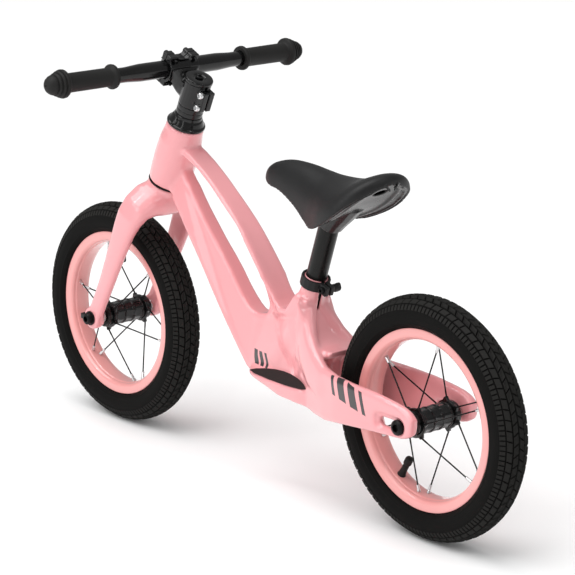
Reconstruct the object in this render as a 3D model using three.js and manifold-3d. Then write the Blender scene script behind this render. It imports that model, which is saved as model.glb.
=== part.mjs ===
// A child's balance bike: one-piece frame with a long window, fork, straight bar with
// mushroom-ended grips, two spoked 12 inch wheels, and a saddle on a sliding post.
// Millimetres, +X forward, +Y left, +Z up. The origin is on the ground, midway between the axles.

import * as THREE from 'three';
import { mergeVertices } from 'three/addons/utils/BufferGeometryUtils.js';
import Module from 'manifold-3d';

const wasm = await Module();
wasm.setup();

// ---------------------------------------------------------------- driving dimensions
const GAP = 0.3; // running and resting clearance between neighbouring pieces

const WHEELBASE = 581;
const TYRE_RADIUS = 146;
const TYRE_HALF_WIDTH = 22.7;
const TYRE_SECTION = 23.7; // half the height of the tyre's section
const RIM_RADIUS = 108;
const RIM_HALF_WIDTH = 15.5;
const SPOKE_BED_RADIUS = 94;
const WHEEL_SEGMENTS = 24;
const PAIRS = 6; // pairs of spokes in a wheel, one spoke of each to each flange
const PAIR_HALF_ANGLE = 2.7; // degrees between a pair's middle and each of its spokes

const HUB_HALF = 35;
const HUB_RADIUS = 15.5;
const FLANGE_AT = 26;
const BEARING_RADIUS = 13;
const BEARING_WIDTH = 8;
const AXLE_RADIUS = 5;
const DROPOUT_INNER = 42; // inner face of each dropout
const DROPOUT_OUTER = 54.5;
const RECESS_DEPTH = 4; // how deep the rear bolt heads sit in the dropouts

const HEAD_TOP = new THREE.Vector3(159.3, 0, 418.5); // steering axis at the head tube's top
const HEAD_TILT = 23.5; // degrees back from upright
const HEAD_LENGTH = 85.5;
const STEERER_RADIUS = 12.7;
const HEADSET_RADIUS = 19;
const HEADSET_HEIGHT = 7;
const SEAL_HEIGHT = 1.6;
const FORK_OFFSET = 11.6; // axle ahead of the steering axis
const AXLE_DOWN = -302.3; // front axle along the steering axis, from the head tube's top

const STEM_BOTTOM = 30;
const STEM_TOP = 63.7;
const STEM_RADIUS = 17.3;
const BAR_FORWARD = 42;
const BAR_UP = 57.5;
const BAR_RADIUS = 11.1;
const BAR_END_RADIUS = 9.5;
const BAR_HALF = 194;
const CLAMP_HALF = 22.5;
const FACEPLATE_BOLT_UP = 16; // bolts above and below the bar's middle
const FACEPLATE_BOLT_OUT = 15.5;

const SEAT_TOP = new THREE.Vector3(-90.2, 0, 275); // seat tube's top, on its axis
const SEAT_TILT = 18; // degrees back from upright
const SEAT_TUBE_RADIUS = 14.6;
const POST_RADIUS = 12.7;
const POST_DOWN = 75; // length of post inside the frame
const POST_UP = 100; // top of the post above the seat tube
const BORE_DEPTH = 126;
const CLAMP_BOLT_BACK = 21.6; // clamp bolt behind the seat tube's axis
const CLAMP_BOLT_DOWN = 8;

const FRAME_HALF_WIDTH = 17;
const FRAME_EDGE = 3.5; // roundness of the frame's edges
const WINDOW_TAPER = 0.62; // how much narrower the down tube is where it faces the window
const UNDERSIDE_TAPER = 0.4; // and the top tube

const AXLE_X = WHEELBASE / 2;
const UP = new THREE.Vector3(0, 0, 1);
const FORWARD = new THREE.Vector3(1, 0, 0);
const SIDES = { left: 1, right: -1 };
const radians = THREE.MathUtils.degToRad;

// ---------------------------------------------------------------- finishes
function finish(color, roughness, metalness) {
  return () => new THREE.MeshStandardMaterial({ color, roughness, metalness });
}

const pinkPaint = finish(0xf6b3b5, 0.22, 0.0);
const rimPaint = finish(0xf2a9a6, 0.3, 0.0);
const blackPaint = finish(0x17171a, 0.3, 0.2);
const blackSteel = finish(0x101012, 0.35, 0.7);
const brightSteel = finish(0xc9c9cc, 0.25, 1.0);
const tyreRubber = finish(0x232323, 0.85, 0.0);
const gripRubber = finish(0x262626, 0.7, 0.0);
const saddleSkin = finish(0x2a2a2d, 0.45, 0.0);
const darkPlastic = finish(0x303033, 0.55, 0.0);

// ---------------------------------------------------------------- shape helpers
// Merges shared corners, drops slivers and turns every face outwards.
function closed(geometry) {
  const bare = geometry.clone();
  for (const name of Object.keys(bare.attributes)) {
    if (name !== 'position') bare.deleteAttribute(name);
  }
  const merged = mergeVertices(bare, 1e-3);
  const position = merged.attributes.position;
  const corner = (i) => new THREE.Vector3().fromBufferAttribute(position, i);
  const faces = [];
  let volume = 0;
  for (let i = 0; i < merged.index.count; i += 3) {
    const [a, b, c] = [0, 1, 2].map((k) => merged.index.getX(i + k));
    if (a === b || b === c || c === a) continue;
    faces.push([a, b, c]);
    volume += corner(a).dot(corner(b).cross(corner(c)));
  }
  const outward = volume > 0 ? faces : faces.map(([a, b, c]) => [a, c, b]);
  const result = new THREE.BufferGeometry();
  result.setAttribute('position', position.clone());
  result.setIndex(outward.flat());
  return result;
}

function solid(geometry) {
  const clean = closed(geometry);
  return new wasm.Manifold(new wasm.Mesh({
    numProp: 3,
    vertProperties: new Float32Array(clean.attributes.position.array),
    triVerts: new Uint32Array(clean.index.array),
  }));
}

const FACET = 0.2; // faces flatter than this are merged after a boolean

function geometryOf(body) {
  const mesh = body.simplify(FACET).getMesh();
  const geometry = new THREE.BufferGeometry();
  geometry.setAttribute('position', new THREE.BufferAttribute(mesh.vertProperties, 3));
  geometry.setIndex(new THREE.BufferAttribute(mesh.triVerts, 1));
  return geometry;
}

function joined(bodies) {
  return bodies.reduce((sum, body) => sum.add(body));
}

// A solid of revolution about Y from [radius, y] pairs. A profile off the axis closes on itself.
function turned(profile, segments = 16) {
  const points = profile.map(([r, y]) => new THREE.Vector2(r, y));
  if (profile[0][0] > 0) points.push(points[0].clone());
  return new THREE.LatheGeometry(points, segments);
}

// The same, about Z.
function turnedUp(profile, segments = 20) {
  return turned(profile, segments).rotateX(Math.PI / 2);
}

function ring(inner, outer, from, to, segments = 14) {
  return turned([[inner, from], [outer, from], [outer, to], [inner, to]], segments);
}

function ringUp(inner, outer, from, to, segments = 16) {
  return ring(inner, outer, from, to, segments).rotateX(Math.PI / 2);
}

// A round bar between two points.
function rod(from, to, radius, segments = 14) {
  const along = new THREE.Vector3().subVectors(to, from);
  const turn = new THREE.Quaternion().setFromUnitVectors(
    new THREE.Vector3(0, 1, 0), along.clone().normalize());
  const middle = new THREE.Vector3().addVectors(from, to).multiplyScalar(0.5);
  return new THREE.CylinderGeometry(radius, radius, along.length(), segments)
    .applyQuaternion(turn).translate(middle.x, middle.y, middle.z);
}

function crossRod(x, z, radius, from, to, segments = 14) {
  return rod(new THREE.Vector3(x, from, z), new THREE.Vector3(x, to, z), radius, segments);
}

function block(width, depth, height, x, y, z) {
  return new THREE.BoxGeometry(width, depth, height).translate(x, y, z);
}

// A plate drawn side-on in X and Z, standing between two values of Y.
function sidePlate(outline, from, to, edge = 0, holes = []) {
  const shape = new THREE.Shape(outline);
  shape.holes = holes.map((hole) => new THREE.Path(hole));
  const geometry = new THREE.ExtrudeGeometry(shape, {
    depth: to - from - 2 * edge,
    bevelEnabled: edge > 0,
    bevelThickness: edge,
    bevelSize: edge,
    bevelOffset: -edge,
    bevelSegments: 2,
  });
  return geometry.rotateX(Math.PI / 2).translate(0, to - edge, 0);
}

function curve2(points, steps) {
  return new THREE.SplineCurve(points.map(([x, z]) => new THREE.Vector2(x, z))).getPoints(steps);
}

function loop2(points, steps) {
  const flat = points.map(([x, z]) => new THREE.Vector3(x, z, 0));
  const round = new THREE.CatmullRomCurve3(flat, true, 'centripetal').getPoints(steps);
  return round.slice(0, -1).map((p) => new THREE.Vector2(p.x, p.y));
}

// A slot's outline with round ends.
function stadium(fromX, toX, z, radius, steps = 6) {
  const end = (x, start) => Array.from({ length: steps + 1 }, (_, i) => {
    const angle = start + (Math.PI * i) / steps;
    return new THREE.Vector2(x + radius * Math.cos(angle), z + radius * Math.sin(angle));
  });
  return [...end(toX - radius, -Math.PI / 2), ...end(fromX + radius, Math.PI / 2)];
}

// Rings of equal length skinned into one closed solid, with a fan over each end.
function skin(rings) {
  const sides = rings[0].length;
  const points = rings.flat();
  const faces = [];
  for (let i = 0; i + 1 < rings.length; i += 1) {
    for (let j = 0; j < sides; j += 1) {
      const k = (j + 1) % sides;
      const [a, b, c, d] = [i * sides + j, i * sides + k, (i + 1) * sides + k, (i + 1) * sides + j];
      faces.push(a, b, c, a, c, d);
    }
  }
  const cap = (ring, start, flip) => {
    const middle = new THREE.Vector3();
    ring.forEach((p) => middle.addScaledVector(p, 1 / sides));
    points.push(middle);
    for (let j = 0; j < sides; j += 1) {
      const pair = [start + j, start + ((j + 1) % sides)];
      faces.push(points.length - 1, ...(flip ? pair.reverse() : pair));
    }
  };
  cap(rings[0], 0, true);
  cap(rings[rings.length - 1], (rings.length - 1) * sides, false);
  return new THREE.BufferGeometry().setFromPoints(points).setIndex(faces);
}

// A rounded section swept through stations [x, y, z, half size along `across`, other half size].
function sweep(stations, across, sides = 20, squareness = 2.6) {
  const places = stations.map(([x, y, z]) => new THREE.Vector3(x, y, z));
  const power = 2 / squareness;
  const bend = (value) => Math.sign(value) * Math.abs(value) ** power;
  return skin(stations.map(([, , , a, b], i) => {
    const before = places[Math.max(i - 1, 0)];
    const after = places[Math.min(i + 1, places.length - 1)];
    const along = new THREE.Vector3().subVectors(after, before).normalize();
    const u = across.clone().addScaledVector(along, -across.dot(along)).normalize();
    const v = new THREE.Vector3().crossVectors(along, u);
    return Array.from({ length: sides }, (_, j) => {
      const angle = (2 * Math.PI * j) / sides;
      return places[i].clone()
        .addScaledVector(u, a * bend(Math.cos(angle)))
        .addScaledVector(v, b * bend(Math.sin(angle)));
    });
  }));
}

// Two matching grids of points joined round their edges into one closed sheet.
function thickSheet(outer, inner) {
  const rows = outer.length;
  const columns = outer[0].length;
  const points = [...outer.flat(), ...inner.flat()];
  const top = (i, j) => i * columns + j;
  const under = (i, j) => rows * columns + i * columns + j;
  const faces = [];
  const quad = (a, b, c, d) => faces.push(a, b, c, a, c, d);
  for (let i = 0; i + 1 < rows; i += 1) {
    for (let j = 0; j + 1 < columns; j += 1) {
      quad(top(i, j), top(i, j + 1), top(i + 1, j + 1), top(i + 1, j));
      quad(under(i, j), under(i + 1, j), under(i + 1, j + 1), under(i, j + 1));
    }
    quad(top(i, 0), top(i + 1, 0), under(i + 1, 0), under(i, 0));
    quad(top(i + 1, columns - 1), top(i, columns - 1), under(i, columns - 1), under(i + 1, columns - 1));
  }
  for (let j = 0; j + 1 < columns; j += 1) {
    quad(top(0, j + 1), top(0, j), under(0, j), under(0, j + 1));
    quad(top(rows - 1, j), top(rows - 1, j + 1), under(rows - 1, j + 1), under(rows - 1, j));
  }
  return new THREE.BufferGeometry().setFromPoints(points).setIndex(faces);
}

function mesh(name, geometry, material) {
  const piece = new THREE.Mesh(closed(geometry), material());
  piece.name = name;
  return piece;
}

function tiltedGroup(place, degrees) {
  const group = new THREE.Group();
  group.position.copy(place);
  group.rotation.y = -radians(degrees);
  group.updateMatrix();
  return group;
}

const bike = new THREE.Group();
const steering = tiltedGroup(HEAD_TOP, HEAD_TILT);
const seat = tiltedGroup(SEAT_TOP, SEAT_TILT);
bike.add(steering, seat);

const inSteering = (geometry) => geometry.applyMatrix4(steering.matrix);
const inSeat = (geometry) => geometry.applyMatrix4(seat.matrix);

// ---------------------------------------------------------------- frame
// Side view: round the bottom, up the down tube, back along the top tube to the seat tube.
function spine() {
  const bottom = curve2([[-100, 121], [-78, 120.5], [-50, 126], [-22, 131.5], [2, 134]], 5);
  const downTube = curve2([[15, 139], [31, 156.7], [70, 203.4], [109.4, 253.1], [149.3, 299.5], [172, 328]], 9);
  const topTube = curve2([[155, 395], [131, 384], [110, 371.5], [90, 358], [68, 341], [46, 323.5], [28, 307],
    [8, 285], [-15.6, 257], [-32, 236], [-43, 227]], 13);
  const seatTube = curve2([[-54, 228], [-63, 240], [-72, 252]], 3);
  const back = curve2([[-94, 246], [-91, 225], [-93, 205], [-99, 185], [-101, 160]], 4);
  const headTube = [new THREE.Vector2(190, 345), new THREE.Vector2(168, 392)];
  const outline = [...bottom, ...downTube, ...headTube, ...topTube, ...seatTube, ...back];
  const lower = [[158, 372], [150, 353], [139, 341], [126, 324.5], [105.5, 301], [78, 273], [55, 249],
    [36, 226.5], [20, 212.5], [6, 208]];
  const upper = [[-8, 211], [-13, 221], [-5, 240], [8, 262], [22, 282], [42, 303.5], [62, 320], [90, 339],
    [112, 355], [134, 369], [150, 378]];
  const window = loop2([...lower, ...upper], 32);
  const plate = sidePlate(outline, -FRAME_HALF_WIDTH, FRAME_HALF_WIDTH, FRAME_EDGE, [window]);
  const position = plate.attributes.position;
  const reach = (points, p) => Math.min(...points.map((q) => q.distanceTo(p)));
  for (let i = 0; i < position.count; i += 1) {
    const place = new THREE.Vector2(position.getX(i), position.getZ(i));
    const lowness = THREE.MathUtils.smoothstep(370 - place.y, 0, 190);
    const [toLower, toUpper] = [lower, upper].map((edge) => reach(edge.map((q) => new THREE.Vector2(...q)), place));
    const share = toUpper / (toLower + toUpper);
    const taper = reach(window, place) < reach(outline, place)
      ? THREE.MathUtils.lerp(UNDERSIDE_TAPER, WINDOW_TAPER, share) : 1;
    position.setY(i, position.getY(i) * (0.95 + 0.33 * lowness) * taper);
  }
  return solid(plate);
}

function headTube() {
  return solid(inSteering(turnedUp([[0, -HEAD_LENGTH], [26, -HEAD_LENGTH], [27.3, -74], [28, -50],
    [27.2, -24], [24.5, -8], [24, 0], [0, 0]], 22)));
}

function seatTube() {
  const stations = [
    [0, 0, 0, SEAT_TUBE_RADIUS, SEAT_TUBE_RADIUS],
    [0, 0, -17, SEAT_TUBE_RADIUS, SEAT_TUBE_RADIUS],
    [0, 0, -30, 16.4, 15.8],
    [1, 0, -52, 19, 18],
    [3, 0, -72, 23, 21],
    [8, 0, -100, 30, 23],
    [16, 0, -130, 36, 23],
  ];
  return solid(inSeat(sweep(stations, FORWARD, 18, 2)));
}

// The bridge from the seat tube back over the tyre, and an arm down each side to the stays.
function yoke() {
  const bridge = curve2([[-84, 250], [-97, 226], [-104, 210], [-116, 200], [-133, 195.5], [-154, 195]], 7);
  const under = curve2([[-154, 187], [-134, 186.5], [-114, 182], [-100, 172]], 4);
  const web = sidePlate([...bridge, ...under, new THREE.Vector2(-80, 172)], -27, 27, 2.5);
  const arms = Object.values(SIDES).map((side) => solid(sweep([
    [-82, 8 * side, 236, 13, 11],
    [-90, 15 * side, 218, 15, 10],
    [-98, 21 * side, 200, 18, 9.5],
    [-110, 27 * side, 184, 21, 9],
    [-128, 34 * side, 170, 22, 8],
    [-148, 40 * side, 162, 20, 7],
    [-166, 43 * side, 160, 14, 6],
  ], new THREE.Vector3(-0.5, 0, 0.86), 12)));
  return joined([solid(web), ...arms]);
}

function stay(side) {
  const axleZ = TYRE_RADIUS;
  const stations = [
    [-60, 9, 156, 32, 9],
    [-95, 19, 152.5, 34.5, 10],
    [-130, 31, 150, 34.5, 8.5],
    [-155, 39.5, 149.5, 32.5, 7.5],
    [-180, 45, 150.5, 29, 6.8],
    [-210, 48, 152, 26.5, 6.3],
    [-250, 48.2, 153, 24, 6.3],
    [-280, 48.2, 152.5, 21.2, 6.3],
    [-295, 48.2, 151.8, 19.4, 6.3],
    [-305, 48.2, 151.2, 16, 6.3],
    [-313, 48.2, 150.4, 9.5, 6.3],
  ].map(([x, y, z, a, b]) => [x, y * side, z, a, b]);
  const arm = solid(sweep(stations, UP, 16, 3.4));
  const recess = sidePlate(stadium(-302, -251, axleZ + 1, 10.6), DROPOUT_OUTER - RECESS_DEPTH, 70);
  const slot = sidePlate(stadium(-296, -257, axleZ, AXLE_RADIUS + GAP), 30, 70);
  const cuts = solid(recess).add(solid(slot));
  return arm.subtract(side > 0 ? cuts : cuts.mirror([0, 1, 0]));
}

// A shelf that swells out of the body's side under the foot pad.
function footShelf(side) {
  const swell = [[8, 0.08], [0, 0.5], [-10, 0.82], [-25, 1], [-60, 1.04], [-95, 1], [-112, 0.85], [-126, 0.5]];
  const rings = swell.map(([x, k]) => {
    const drop = THREE.MathUtils.smoothstep(-x, 0, 80) * 14;
    return [[10, 136 - drop], [21, 134 - drop], [21 + 13 * k, 135 - drop], [20.5 + 17 * k, 137.5 - drop / 4],
      [20.5 + 16.5 * k, 139.5], [20.5, 139.5 + 12.9 * k ** 0.5], [10, 139.5 + 13.2 * k ** 0.5]]
      .map(([y, z]) => new THREE.Vector3(x, y * side, z));
  });
  return solid(skin(rings));
}

// The pad's lens outline lies on the shelf's slope, a little clear of it. `grow` widens it.
const PAD_SLOPE = Math.atan2(12.9, 16.5);
const PAD_THICKNESS = 2;

function padPlate(side, bottom, top, grow) {
  const lens = loop2([[-8 + 2 * grow, 3], [-30, 12 + grow], [-60, 16.5 + grow], [-90, 13 + grow],
    [-111 - 2 * grow, 4], [-90, 0.4 - grow], [-60, -0.4 - grow], [-30, 0.4 - grow]], 16);
  const plate = new THREE.ExtrudeGeometry(new THREE.Shape(lens), { depth: top - bottom, bevelEnabled: false });
  plate.translate(0, 0, -top).rotateX(Math.PI - PAD_SLOPE);
  return plate.translate(0, 36, 140.3).scale(1, side, 1);
}

function footPad(side) {
  return padPlate(side, 0.4, 0.4 + PAD_THICKNESS, 0);
}

function frame() {
  const body = joined([spine(), headTube(), seatTube(), yoke(), stay(1), stay(-1), footShelf(1), footShelf(-1)]);
  const headCuts = joined([
    solid(inSteering(ringUpFilled(STEERER_RADIUS + 3, -HEAD_LENGTH - 4, 4))),
    solid(inSteering(ringUpFilled(HEADSET_RADIUS, -HEADSET_HEIGHT, 4))),
    solid(inSteering(ringUpFilled(HEADSET_RADIUS, -HEAD_LENGTH - 4, HEADSET_HEIGHT - HEAD_LENGTH))),
    solid(inSteering(ringUpFilled(34, -HEAD_LENGTH - 30, -HEAD_LENGTH))),
    solid(inSteering(ringUpFilled(34, 0, 20))),
  ]);
  const seatCuts = solid(inSeat(ringUpFilled(POST_RADIUS + GAP, -BORE_DEPTH, 4)))
    .add(solid(inSeat(block(30, 2.6, 46, -17, 0, -18))));
  const tyreRoom = solid(crossRod(-AXLE_X, TYRE_RADIUS, TYRE_RADIUS + 7, -29, 29, 40));
  const pocket = solid(sidePlate([[-300, 100], [-106, 100], [-104, 150], [-106, 168], [-118, 181],
    [-160, 186], [-300, 186]].map(([x, z]) => new THREE.Vector2(x, z)), -27, 27));
  const padRoom = Object.values(SIDES).map((side) => solid(padPlate(side, 0.05, 16, 0.5)));
  const trimmed = body.subtract(joined(padRoom)).subtract(headCuts).subtract(seatCuts).subtract(tyreRoom).subtract(pocket);
  return geometryOf(trimmed);
}

function ringUpFilled(radius, from, to, segments = 24) {
  return turnedUp([[0, from], [radius, from], [radius, to], [0, to]], segments);
}

bike.add(mesh('frame', frame(), pinkPaint));
for (const [name, side] of Object.entries(SIDES)) {
  bike.add(mesh(`footrest_pad_${name}`, footPad(side), gripRubber));
}

// ---------------------------------------------------------------- headset
function headsetBearing(from) {
  const inner = STEERER_RADIUS + GAP;
  const outer = HEADSET_RADIUS - GAP;
  const to = from + HEADSET_HEIGHT - 2 * GAP;
  return ringUp(inner, outer, from, to);
}

function headsetCover() {
  const inner = STEERER_RADIUS + GAP;
  return turnedUp([[inner, GAP], [24.6, GAP], [24.7, 2.6], [22.6, 4.6], [18.6, 12], [17.2, 16.4], [inner, 16.4]], 18);
}

steering.add(
  mesh('headset_upper_bearing', headsetBearing(-HEADSET_HEIGHT + GAP), blackSteel),
  mesh('headset_lower_bearing', headsetBearing(-HEAD_LENGTH + GAP), blackSteel),
  mesh('headset_cover', headsetCover(), blackPaint),
  mesh('headset_spacer', ringUp(STEERER_RADIUS + GAP, 17, 16.8, STEM_BOTTOM - GAP), blackPaint),
  mesh('crown_seal', ringUp(STEERER_RADIUS + GAP, 26.4, -HEAD_LENGTH - GAP - SEAL_HEIGHT, -HEAD_LENGTH - GAP),
    gripRubber),
);

// ---------------------------------------------------------------- fork
const CROWN_TOP = -HEAD_LENGTH - SEAL_HEIGHT - 2 * GAP;

function forkLeg(side) {
  return solid(sweep([
    [0, -4, CROWN_TOP - 22, 25, 21],
    [0, 12, CROWN_TOP - 22, 25, 21],
    [1, 27, CROWN_TOP - 25.5, 24, 17.5],
    [2, 39, CROWN_TOP - 35, 22, 13],
    [3, 45.5, CROWN_TOP - 50, 20.5, 10],
    [4, 47.6, CROWN_TOP - 68, 18.5, 8.2],
    [5, 48, CROWN_TOP - 92, 16.5, 7.4],
    [6, 48.2, CROWN_TOP - 125, 14, 6.8],
    [7.5, 48.2, CROWN_TOP - 158, 12.3, 6.4],
    [9.6, 48.2, CROWN_TOP - 186, 11.6, 6.3],
    [FORK_OFFSET, 48.2, AXLE_DOWN, 12.2, 6.2],
  ].map(([x, y, z, a, b]) => [x, y * side, z, a, b]), FORWARD, 16, 2.7));
}

function fork() {
  const crown = solid(turnedUp([[0, CROWN_TOP - 40], [20, CROWN_TOP - 36], [25.4, CROWN_TOP - 22],
    [26.2, CROWN_TOP], [0, CROWN_TOP]], 22));
  const dropouts = Object.values(SIDES).map((side) => solid(
    crossRod(FORK_OFFSET, AXLE_DOWN, 14.6, DROPOUT_INNER * side, DROPOUT_OUTER * side, 20)));
  const axleHole = solid(crossRod(FORK_OFFSET, AXLE_DOWN, AXLE_RADIUS + GAP, -70, 70));
  const steererHole = solid(ringUpFilled(STEERER_RADIUS + GAP, CROWN_TOP - 30, 0));
  const tyreRoom = solid(crossRod(FORK_OFFSET, AXLE_DOWN, TYRE_RADIUS + 8, -29, 29, 40));
  const body = joined([forkLeg(1), forkLeg(-1), crown, ...dropouts]);
  return geometryOf(body.subtract(axleHole).subtract(steererHole).subtract(tyreRoom));
}

steering.add(
  mesh('fork', fork(), pinkPaint),
  mesh('steerer_tube', ringUp(10.7, STEERER_RADIUS, CROWN_TOP - 30 + GAP, STEM_TOP - 2), blackSteel),
);

// ---------------------------------------------------------------- stem and bar
const PINCH_BACK = -21; // pinch bolts behind the steerer's axis
const PINCH_UP = { upper: 56, lower: 38 };
const SPLIT = BAR_FORWARD + 1; // plane between stem and faceplate

function clampCurl(from, to) {
  const round = solid(crossRod(BAR_FORWARD, BAR_UP, 15.6, -CLAMP_HALF, CLAMP_HALF, 20));
  const ears = solid(block(17, 2 * CLAMP_HALF, 41, BAR_FORWARD + 1, 0, BAR_UP));
  const keep = solid(block(to - from, 2 * CLAMP_HALF, 60, (from + to) / 2, 0, BAR_UP));
  const bar = solid(crossRod(BAR_FORWARD, BAR_UP, BAR_RADIUS + GAP, -40, 40, 20));
  const holes = faceplateBolts().map(([y, z]) => solid(rod(
    new THREE.Vector3(BAR_FORWARD - 20, y, z), new THREE.Vector3(BAR_FORWARD + 30, y, z), 2.3, 10)));
  return round.add(ears).intersect(keep).subtract(joined([bar, ...holes]));
}

function faceplateBolts() {
  return [1, -1].flatMap((side) => [1, -1].map((up) => [
    side * FACEPLATE_BOLT_OUT, BAR_UP + up * FACEPLATE_BOLT_UP]));
}

function stem() {
  const sleeve = solid(ringUpFilled(STEM_RADIUS, STEM_BOTTOM, STEM_TOP));
  const arm = solid(sweep([[0, 0, 46, 15, 14], [18, 0, 47.5, 14, 14], [27, 0, 53, 14, 17],
    [32, 0, BAR_UP, 15, 20]], UP, 16, 4));
  const ears = solid(block(16, 17, 26, PINCH_BACK + 3, 0, 47));
  const bolts = Object.values(PINCH_UP).map((z) => solid(crossRod(PINCH_BACK, z, 2.8, -30, 30, 10)));
  const cuts = joined([
    solid(ringUpFilled(STEERER_RADIUS + GAP, 0, 90)),
    solid(block(24, 2.4, 60, -22, 0, 47)),
    solid(crossRod(BAR_FORWARD, BAR_UP, BAR_RADIUS + GAP, -40, 40, 20)),
    ...bolts,
  ]);
  const body = joined([sleeve, arm, ears]).subtract(solid(block(60, 80, 90, SPLIT + 29.7, 0, BAR_UP)));
  return geometryOf(body.subtract(cuts).add(clampCurl(BAR_FORWARD - 14, SPLIT - GAP).subtract(cuts)));
}

// A round-headed bolt along Y: its head's inner face is at `at`, and it points to `side`.
function capBolt(at, headRadius, headHeight, shankRadius, shankLength, side = 1) {
  const head = at + headHeight;
  const socket = headRadius * 0.45;
  const floor = head - headHeight * 0.55;
  const profile = [[0, at - shankLength], [shankRadius, at - shankLength], [shankRadius, at],
    [headRadius, at], [headRadius * 0.92, head], [socket, head], [socket, floor], [0, floor]];
  return turned(profile, 8).scale(1, side, 1);
}

function faceplateBolt([y, z]) {
  return capBolt(0, 3.9, 3.6, 2, 17).rotateZ(-Math.PI / 2).translate(BAR_FORWARD + 9.8, y, z);
}

const grooves = [0, 1, 2].flatMap((i) => {
  const y = 181 + 4.6 * i;
  const r = 17.3 - 1.8 * i;
  return [[r, y], [r - 2.2, y + 0.9], [r - 0.8, y + 2.2]];
});

function grip(side) {
  const bore = BAR_END_RADIUS + 0.4;
  const profile = [[0, BAR_HALF + GAP], [bore, BAR_HALF + GAP], [bore, 100.5], [15, 100.5], [15.6, 105.5],
    [11.8, 108.5], [11.8, 173.5], [17.2, 175.5], [17.8, 179], ...grooves, [11.4, 195], [8.2, 200], [0, 202.4]];
  return turned(profile, 14).scale(1, side, 1).translate(BAR_FORWARD, 0, BAR_UP);
}

function handlebar() {
  const half = [[BAR_RADIUS, 0], [BAR_RADIUS, 62], [BAR_END_RADIUS, 82], [BAR_END_RADIUS, BAR_HALF]];
  const outer = [...half.slice(1).reverse().map(([r, y]) => [r, -y]), ...half.slice(1)];
  return turned([...outer, [7.7, BAR_HALF], [7.7, -BAR_HALF]], 20).translate(BAR_FORWARD, 0, BAR_UP);
}

steering.add(
  mesh('stem', stem(), blackPaint),
  mesh('stem_faceplate', geometryOf(clampCurl(SPLIT + GAP, BAR_FORWARD + 16)), blackPaint),
  mesh('stem_cap', turnedUp([[3.4, STEM_TOP + GAP], [17.2, STEM_TOP + GAP], [18, STEM_TOP + 1.2],
    [18, STEM_TOP + 3.6], [16.6, STEM_TOP + 5.2], [7, STEM_TOP + 5.2], [6.4, STEM_TOP + 3.8],
    [3.4, STEM_TOP + 3.8]]), blackPaint),
  mesh('stem_cap_bolt', capBolt(0, 4.6, 3, 2.9, 26).rotateX(Math.PI / 2).translate(0, 0, STEM_TOP + 4.1), blackSteel),
  mesh('star_nut', ringUp(3.2, 10.3, 38, 44, 20), brightSteel),
  mesh('handlebar', handlebar(), blackPaint),
);
for (const [name, z] of Object.entries(PINCH_UP)) {
  steering.add(mesh(`stem_pinch_bolt_${name}`,
    capBolt(8.8, 4.3, 4.4, 2.5, 20).translate(PINCH_BACK, 0, z), brightSteel));
}
faceplateBolts().forEach((place, i) => {
  steering.add(mesh(`faceplate_bolt_${i + 1}`, faceplateBolt(place), blackSteel));
});
for (const [name, side] of Object.entries(SIDES)) {
  steering.add(mesh(`grip_${name}`, grip(side), gripRubber));
}

// ---------------------------------------------------------------- wheels
function tyre() {
  const middle = TYRE_RADIUS - TYRE_SECTION;
  const arc = (width, height, from, to, steps) => Array.from({ length: steps + 1 }, (_, i) => {
    const angle = radians(from + ((to - from) * i) / steps);
    return [middle + height * Math.cos(angle), width * Math.sin(angle)];
  });
  const outside = arc(TYRE_HALF_WIDTH, TYRE_SECTION, -125, 125, 6);
  const inside = arc(TYRE_HALF_WIDTH - 3.4, TYRE_SECTION - 5.5, 135, -135, 4);
  const bead = [[RIM_RADIUS + 0.4, 13.2], [101.9, 12.2], [101.9, 9.8]];
  const farBead = bead.map(([r, y]) => [r, -y]).reverse();
  return turned([...outside, ...bead, ...inside, ...farBead], WHEEL_SEGMENTS);
}

function innerTube(name) {
  const middle = TYRE_RADIUS - TYRE_SECTION;
  const torus = (across, sides, around) => new THREE.TorusGeometry(middle, across, sides, around)
    .rotateX(Math.PI / 2);
  const hollow = solid(torus(14, 7, 14)).subtract(solid(torus(11, 4, 10)));
  return geometryOf(hollow.subtract(solid(stemRod(name, 5.2, middle - 30, middle))));
}

// The rim's section: two flanges, bead seats, a well between them and a rounded spoke bed.
function rimProfile() {
  const w = RIM_HALF_WIDTH;
  const half = [[RIM_RADIUS, w], [98.5, w - 0.8], [SPOKE_BED_RADIUS, w - 8]];
  const inside = [[RIM_RADIUS, w - 1.8], [101.4, w - 2.8], [97.4, w - 8.4]];
  const mirrored = (points) => points.map(([r, y]) => [r, -y]).reverse();
  return [...half, ...mirrored(half), ...mirrored(inside.slice().reverse()), ...inside.slice().reverse()];
}

const VALVE_ANGLE = { front: 88, rear: -60 }; // degrees round the wheel, from forward
function stemRod(name, radius, from, to, segments = 10) {
  const angle = radians(VALVE_ANGLE[name]);
  const out = new THREE.Vector3(Math.cos(angle), 0, Math.sin(angle));
  return rod(out.clone().multiplyScalar(from), out.clone().multiplyScalar(to), radius, segments);
}

function rim(name) {
  return geometryOf(solid(turned(rimProfile(), WHEEL_SEGMENTS)).subtract(solid(stemRod(name, 4.6, 80, 110))));
}

function valve(name) {
  const stem = solid(stemRod(name, 4.2, 66, TYRE_RADIUS - TYRE_SECTION - 14.6));
  return geometryOf(stem.add(solid(stemRod(name, 5.1, 66, 76))));
}

function hub() {
  const seatDepth = HUB_HALF - BEARING_WIDTH - GAP;
  const outer = [[HUB_RADIUS, -HUB_HALF], [HUB_RADIUS, HUB_HALF]];
  const inner = [[BEARING_RADIUS, HUB_HALF], [BEARING_RADIUS, seatDepth], [8, seatDepth], [8, -seatDepth],
    [BEARING_RADIUS, -seatDepth], [BEARING_RADIUS, -HUB_HALF]];
  return turned([...outer, ...inner]);
}

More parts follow.
